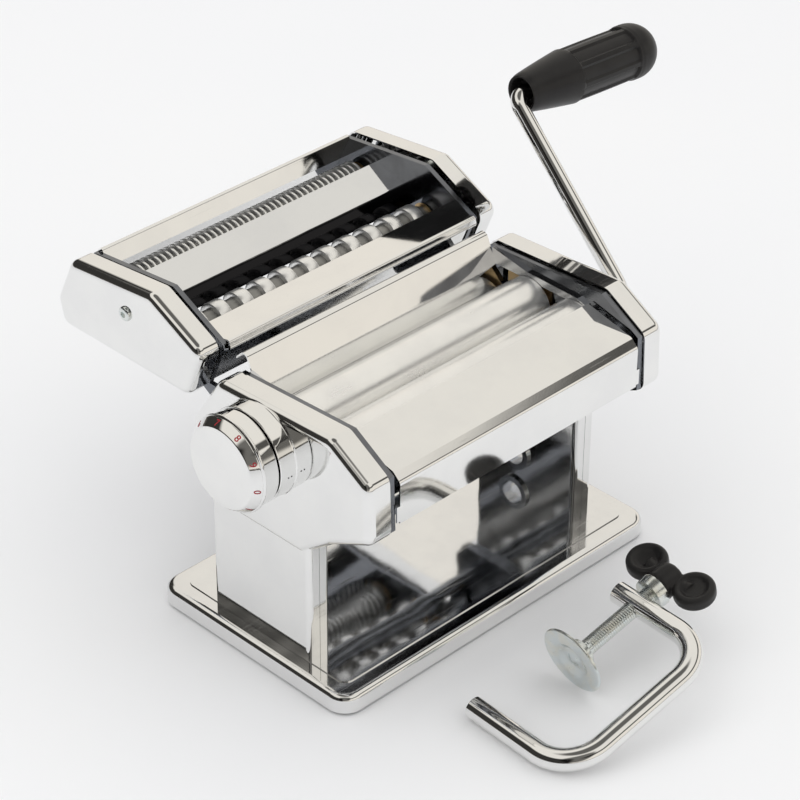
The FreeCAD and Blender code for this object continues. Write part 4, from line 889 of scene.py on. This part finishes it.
@dataclass
class TableClamp:
    """Foot disc, threaded spindle and wing knob of the loose clamp."""

    corner: Triple = (-61.0, -157.9, 5.25)
    along: Triple = (0.9674277, -0.0523940, 0.2476662)
    across: Triple = (0.0540788, 0.9985367, 0.0)
    screw_place: float = 44.6
    foot: float = 45.5
    foot_radius: float = 17.0
    wing: float = 99.9
    pitch: float = 1.25
    steps_per_turn: int = 6
    sides: int = 36
    crest: float = 3.98
    thread_depth: float = 0.42
    voxel: float = 0.4

    def place(self) -> Matrix:
        """Frame on the screw's line, Z along the screw from the fixed arm."""
        origin = Vector(self.corner) + Vector(self.across) * self.screw_place
        return axes(origin, Vector(self.across), Vector(self.along))

    def build(self) -> None:
        """Build and seat the three detailed pieces."""
        self.foot_disc()
        self.spindle()
        self.wing_knob()

    def foot_disc(self) -> None:
        """Pressed disc with a sunk, riveted middle and a short hub."""
        base, edge = self.foot, self.foot_radius
        profile = rounded([
            (base + 1.2, 0.0), (base + 1.2, 1.6, 0.3), (base + 2.1, 3.6, 0.6),
            (base + 2.2, 6.0, 0.8), (base + 0.2, 9.6, 0.5), (base, 11.5, 0.4),
            (base + 0.1, edge - 0.5, 0.4), (base + 0.5, edge, 0.4), (base + 1.5, edge, 0.4),
            (base + 1.6, edge - 0.8), (base + 1.7, 10.5, 0.8), (base + 3.6, 8.0, 0.8),
            (base + 8.0, 6.6, 0.5), (base + 8.0, 4.1)])
        inner = [(base + 2.7, 4.08), (base + 2.7, 0.0)]
        shell = lathe(profile + inner, 96)
        made = shell.piece("foot_pressing", self.place(), Finishes.ZINC, 34.0)
        seat(made, "foot", "zinc", "clamp_foot")

    def spindle(self) -> None:
        """Screw with a rolled thread that follows one helix."""
        shell = Shell()
        low, high = self.foot + 2.75, self.wing + 9.0
        steps = int((high - low) / self.pitch * self.steps_per_turn)
        rings = []
        for index in range(steps + 1):
            height = low + (high - low) * index / steps
            depth = self.thread_depth * smooth_step(0.0, 4.0, height - low - 6.0)
            ring = []
            for turn in range(self.sides):
                share = turn / self.sides
                ridge = abs((height / self.pitch - share) % 1.0 - 0.5) * 2
                radius = self.crest - depth * smooth_step(0.1, 0.9, ridge)
                ring.append((radius * math.cos(TURN * share), radius * math.sin(TURN * share),
                             height))
            rings.append(ring)
        shell.loft(rings)
        made = shell.piece("spindle_thread", self.place(), Finishes.ZINC, 60.0)
        seat(made, "screw", "zinc", "clamp_screw")

    def wing_knob(self) -> None:
        """Two dished round lobes on necks, blended into one moulding."""
        shell = Shell()
        hub = rounded([(self.wing, 0.0), (self.wing, 6.6, 0.8), (self.wing + 1.5, 7.4, 0.8),
                       (self.wing + 11.5, 6.8, 2.0), (self.wing + 13.0, 4.5, 1.5),
                       (self.wing + 13.2, 0.0)])
        shell.chain(circle(max(r, 0.01), h, 40) for h, r in hub)
        for direction in (-1, 1):
            self.lobe(shell, direction)
        made = shell.piece("wing_rough", self.place(), Finishes.BLACK, 180.0)
        remesh = made.modifiers.new("weld", "REMESH")
        remesh.mode = "VOXEL"
        remesh.voxel_size = self.voxel * MM
        soften = made.modifiers.new("soften", "SMOOTH")
        soften.factor = 0.6
        soften.iterations = 3
        mesh = plain_mesh(made)
        bpy.data.objects.remove(made)
        knob = finish_mesh("wing_moulding", mesh, Finishes.BLACK, 180.0)
        seat(knob, "screw", "black_plastic", "wing_knob")

    def lobe(self, shell: Shell, direction: int) -> None:
        """One dished pad and the neck that carries it.

        Args:
            shell: the shell that receives it.
            direction: which side of the hub, -1 or 1.
        """
        centre = Vector((14.6 * direction, 0.0, self.wing + 9.6))
        half = 3.6
        pad = rounded([(-half + 1.9, 0.0), (-half + 1.7, 5.2, 1.0), (-half, 7.1, 0.8),
                       (-half + 0.2, 8.9, 0.8), (-half + 1.6, 9.9, 1.0),
                       (half - 1.6, 9.9, 1.0), (half - 0.2, 8.9, 0.8), (half, 7.1, 0.8),
                       (half - 1.7, 5.2, 1.0), (half - 1.9, 0.0)])
        turn = Matrix.Rotation(-math.pi / 2, 3, "X")
        shell.chain([centre + turn @ Vector(point)
                     for point in circle(max(radius, 0.01), height, 48)]
                    for height, radius in pad)
        neck = []
        for share in (0.0, 0.35, 0.7, 1.0):
            x = 13.0 * share * direction
            low = self.wing + 1.6 + 3.4 * share
            high = self.wing + 11.2 + 1.6 * share
            thick = 3.5 - 0.6 * math.sin(math.pi * share)
            middle, reach = (low + high) / 2, (high - low) / 2
            neck.append([(x, thick * math.cos(a), middle + reach * math.sin(a))
                         for a in (TURN * index / 24 for index in range(24))])
        shell.loft(neck)


@dataclass
class CoverScrews:
    """Socket-head screws in the dimples of the two cutter covers."""

    y: float = 84.2
    z: float = 142.0
    face: float = 93.5
    key: float = 1.45
    sides: int = 48

    def build(self) -> None:
        """Build both screws as one piece."""
        shell = Shell()
        place = along_x(0.0, self.y, self.z)
        profile = rounded([
            (79.5, 0.0), (79.5, 4.0), (92.7, 4.0), (92.7, 2.0), (self.face, 2.0),
            (self.face + 0.02, 3.6, 0.1), (self.face + 1.1, 3.4, 0.5),
            (self.face + 1.6, 2.4, 0.3)])
        for side in (-1.0, 1.0):
            rings = [circle(max(r, 1e-3), h * side, self.sides) for h, r in profile]
            rings += [self.hexagon((self.face + depth) * side) for depth in (1.6, 0.4)]
            loops = shell.chain([place @ Vector(point) for point in ring] for ring in rings)
            shell.cap(loops[-1])
        made = shell.piece("cover_screws", Matrix.Identity(4), Finishes.ZINC, 30.0)
        seat(made, "cutter_unit", "zinc", "cutter_cover_screws")

    def hexagon(self, height: float) -> list[Triple]:
        """A hexagon outline with the screw circle's point count."""
        points = []
        for x, y, _ in circle(1.0, 0.0, self.sides):
            angle = math.atan2(y, x) % (TURN / 6) - TURN / 12
            size = self.key / math.cos(angle)
            points.append((x * size, y * size, height))
        return points


# ------------------------------------------------------------------ studio

@dataclass
class Studio:
    """Floor, light and camera."""

    camera_place: Triple = (-781.08, -771.87, 820.76)
    azimuth: float = -45.11
    elevation: float = 33.54
    roll: float = 0.44
    focal: float = 2914.9
    frame: float = 800.0
    sensor: float = 36.0
    reach: float = 9.0
    level: float = -0.0002
    aim: Triple = (0.02, 0.0, 0.06)

    def build(self) -> None:
        """Set up everything that isn't part of the machine."""
        self.floor()
        self.world()
        self.lights()
        self.camera()
        view = bpy.context.scene.view_settings
        view.view_transform = "Standard"
        view.look = "None"
        view.exposure = 0.0
        view.gamma = 1.0

    def floor(self) -> None:
        """A wide pale sheet with a faint sheen."""
        mesh = bpy.data.meshes.new("floor")
        corners = ((-1, -1), (1, -1), (1, 1), (-1, 1))
        mesh.from_pydata([(self.reach * x, self.reach * y, self.level) for x, y in corners],
                         [], [(0, 1, 2, 3)])
        made = bpy.data.materials.new("pale_sheet")
        tree = cleared(made)
        place = tree.add("ShaderNodeTexCoord").outputs["Object"]
        cloud = tree.term("ShaderNodeTexNoise", None,
                          {"Vector": place, "Scale": 3.0, "Detail": 2.0})
        fibre = tree.term("ShaderNodeTexNoise", None,
                          {"Vector": place, "Scale": 500.0, "Detail": 2.0})
        colour = tree.blend(cloud.step(0.3, 0.7), (0.90, 0.90, 0.905, 1.0),
                            (0.915, 0.913, 0.91, 1.0))
        relief = tree.add("ShaderNodeBump", None,
                          {"Height": fibre, "Strength": 0.2, "Distance": 0.00005})
        surface = tree.add("ShaderNodeBsdfPrincipled", None, {
            "Base Color": colour, "Roughness": fibre * 0.05 + 0.42,
            "Normal": relief.outputs[0], "Specular IOR Level": 0.35})
        tree.add("ShaderNodeOutputMaterial", None, {"Surface": surface.outputs[0]})
        mesh.materials.append(made)
        add_object("floor", mesh)

    def world(self) -> None:
        """Even white light, with a tented room for polished metal to mirror."""
        world = bpy.data.worlds.new("tent")
        bpy.context.scene.world = world
        tree = cleared(world)
        place = tree.add("ShaderNodeTexCoord").outputs["Generated"]
        split = tree.add("ShaderNodeSeparateXYZ", None, {0: place})
        x, y, z = (Term(tree, split.outputs[index]) for index in range(3))
        behind_left = (x * -0.75 + y * 0.66).step(0.12, 0.3)
        front_right = (x * 0.6 + y * -0.8).step(0.1, 0.4)
        curtain = z.step(0.02, 0.06) * (1.0 - z.step(0.60, 0.70)) * behind_left
        low_band = z.step(0.43, 0.47) * (1.0 - z.step(0.58, 0.62)) * front_right
        skirting = z.step(-0.02, 0.0) * (1.0 - z.step(0.035, 0.05))
        crown = z.step(0.90, 0.96)
        watcher = (x * -0.59 + y * -0.588 + z * 0.5525).step(0.86, 0.93)
        shade = (1.0 - low_band * 0.9) * (1.0 - crown * 0.85) * (1.0 - watcher * 0.82)
        shade = shade * (1.0 - curtain * 0.96)
        shade = shade * (1.0 - skirting * 0.9)
        tent = tree.blend(z.step(0.0, 0.85), (0.90, 0.85, 0.77, 1.0), (0.87, 0.84, 0.78, 1.0))
        mirrored = tree.add("ShaderNodeVectorMath", {"operation": "SCALE"},
                            {0: tent, "Scale": shade})
        rays = tree.add("ShaderNodeLightPath")
        shown = tree.blend(Term(tree, rays.outputs["Is Glossy Ray"]), (0.985, 0.99, 1.0, 1.0),
                           mirrored.outputs[0])
        light = tree.add("ShaderNodeBackground", None, {"Color": shown, "Strength": 1.0})
        tree.add("ShaderNodeOutputWorld", None, {"Surface": light.outputs[0]})

    def lights(self) -> None:
        """A large soft key from behind on the left, and a low fill."""
        rows = (("key", (-0.8, 0.3, 1.3), 1.3, 2.0), ("fill", (0.5, -1.0, 1.2), 1.4, 0.6))
        for name, spot, width, power in rows:
            data = bpy.data.lights.new(name, "AREA")
            data.shape = "DISK"
            data.size = width
            data.energy = power
            data.color = (1.0, 0.99, 0.97)
            made = add_object(name, data)
            made.location = spot
            aim = Vector(self.aim) - Vector(spot)
            made.rotation_euler = aim.to_track_quat("-Z", "Y").to_euler()
            made.visible_glossy = False

    def camera(self) -> None:
        """A long lens from the front left, above."""
        turn, lift = math.radians(self.azimuth), math.radians(self.elevation)
        back = Vector((math.sin(turn) * math.cos(lift), -math.cos(turn) * math.cos(lift),
                       math.sin(lift)))
        side = Vector((0.0, 0.0, 1.0)).cross(back).normalized()
        up = back.cross(side)
        lean = math.radians(self.roll)
        right = side * math.cos(lean) + up * math.sin(lean)
        top = up * math.cos(lean) - side * math.sin(lean)
        data = bpy.data.cameras.new("view")
        data.sensor_width = self.sensor
        data.lens = self.focal / self.frame * self.sensor
        data.clip_end = 50.0
        made = add_object("view", data)
        pose = Matrix((right, top, back)).transposed().to_4x4()
        made.matrix_world = Matrix.Translation(Vector(self.camera_place) * MM) @ pose
        bpy.context.scene.camera = made


def dress_nodes() -> None:
    """Give every CAD node its finish."""
    for name, node in frame["nodes"].items():
        finish = NODE_FINISHES.get(name)
        if finish is None:
            continue
        material = finish.value.material()
        if not node.data.materials:
            node.data.materials.append(material)
        for index in range(len(node.data.materials)):
            node.data.materials[index] = material
        LOG.info("%s is %s", name, finish.name.lower())


def main() -> None:
    """Build the machine's looks in order."""
    logging.basicConfig(level=logging.INFO, format="%(name)s: %(message)s")
    dress_nodes()
    for part in (CutterSet(), Regulator(), Grip(), TableClamp(), CoverScrews()):
        part.build()
        LOG.info("%s built", type(part).__name__)
    Studio().build()
    bpy.context.view_layer.update()


if __name__ == "__main__":
    main()
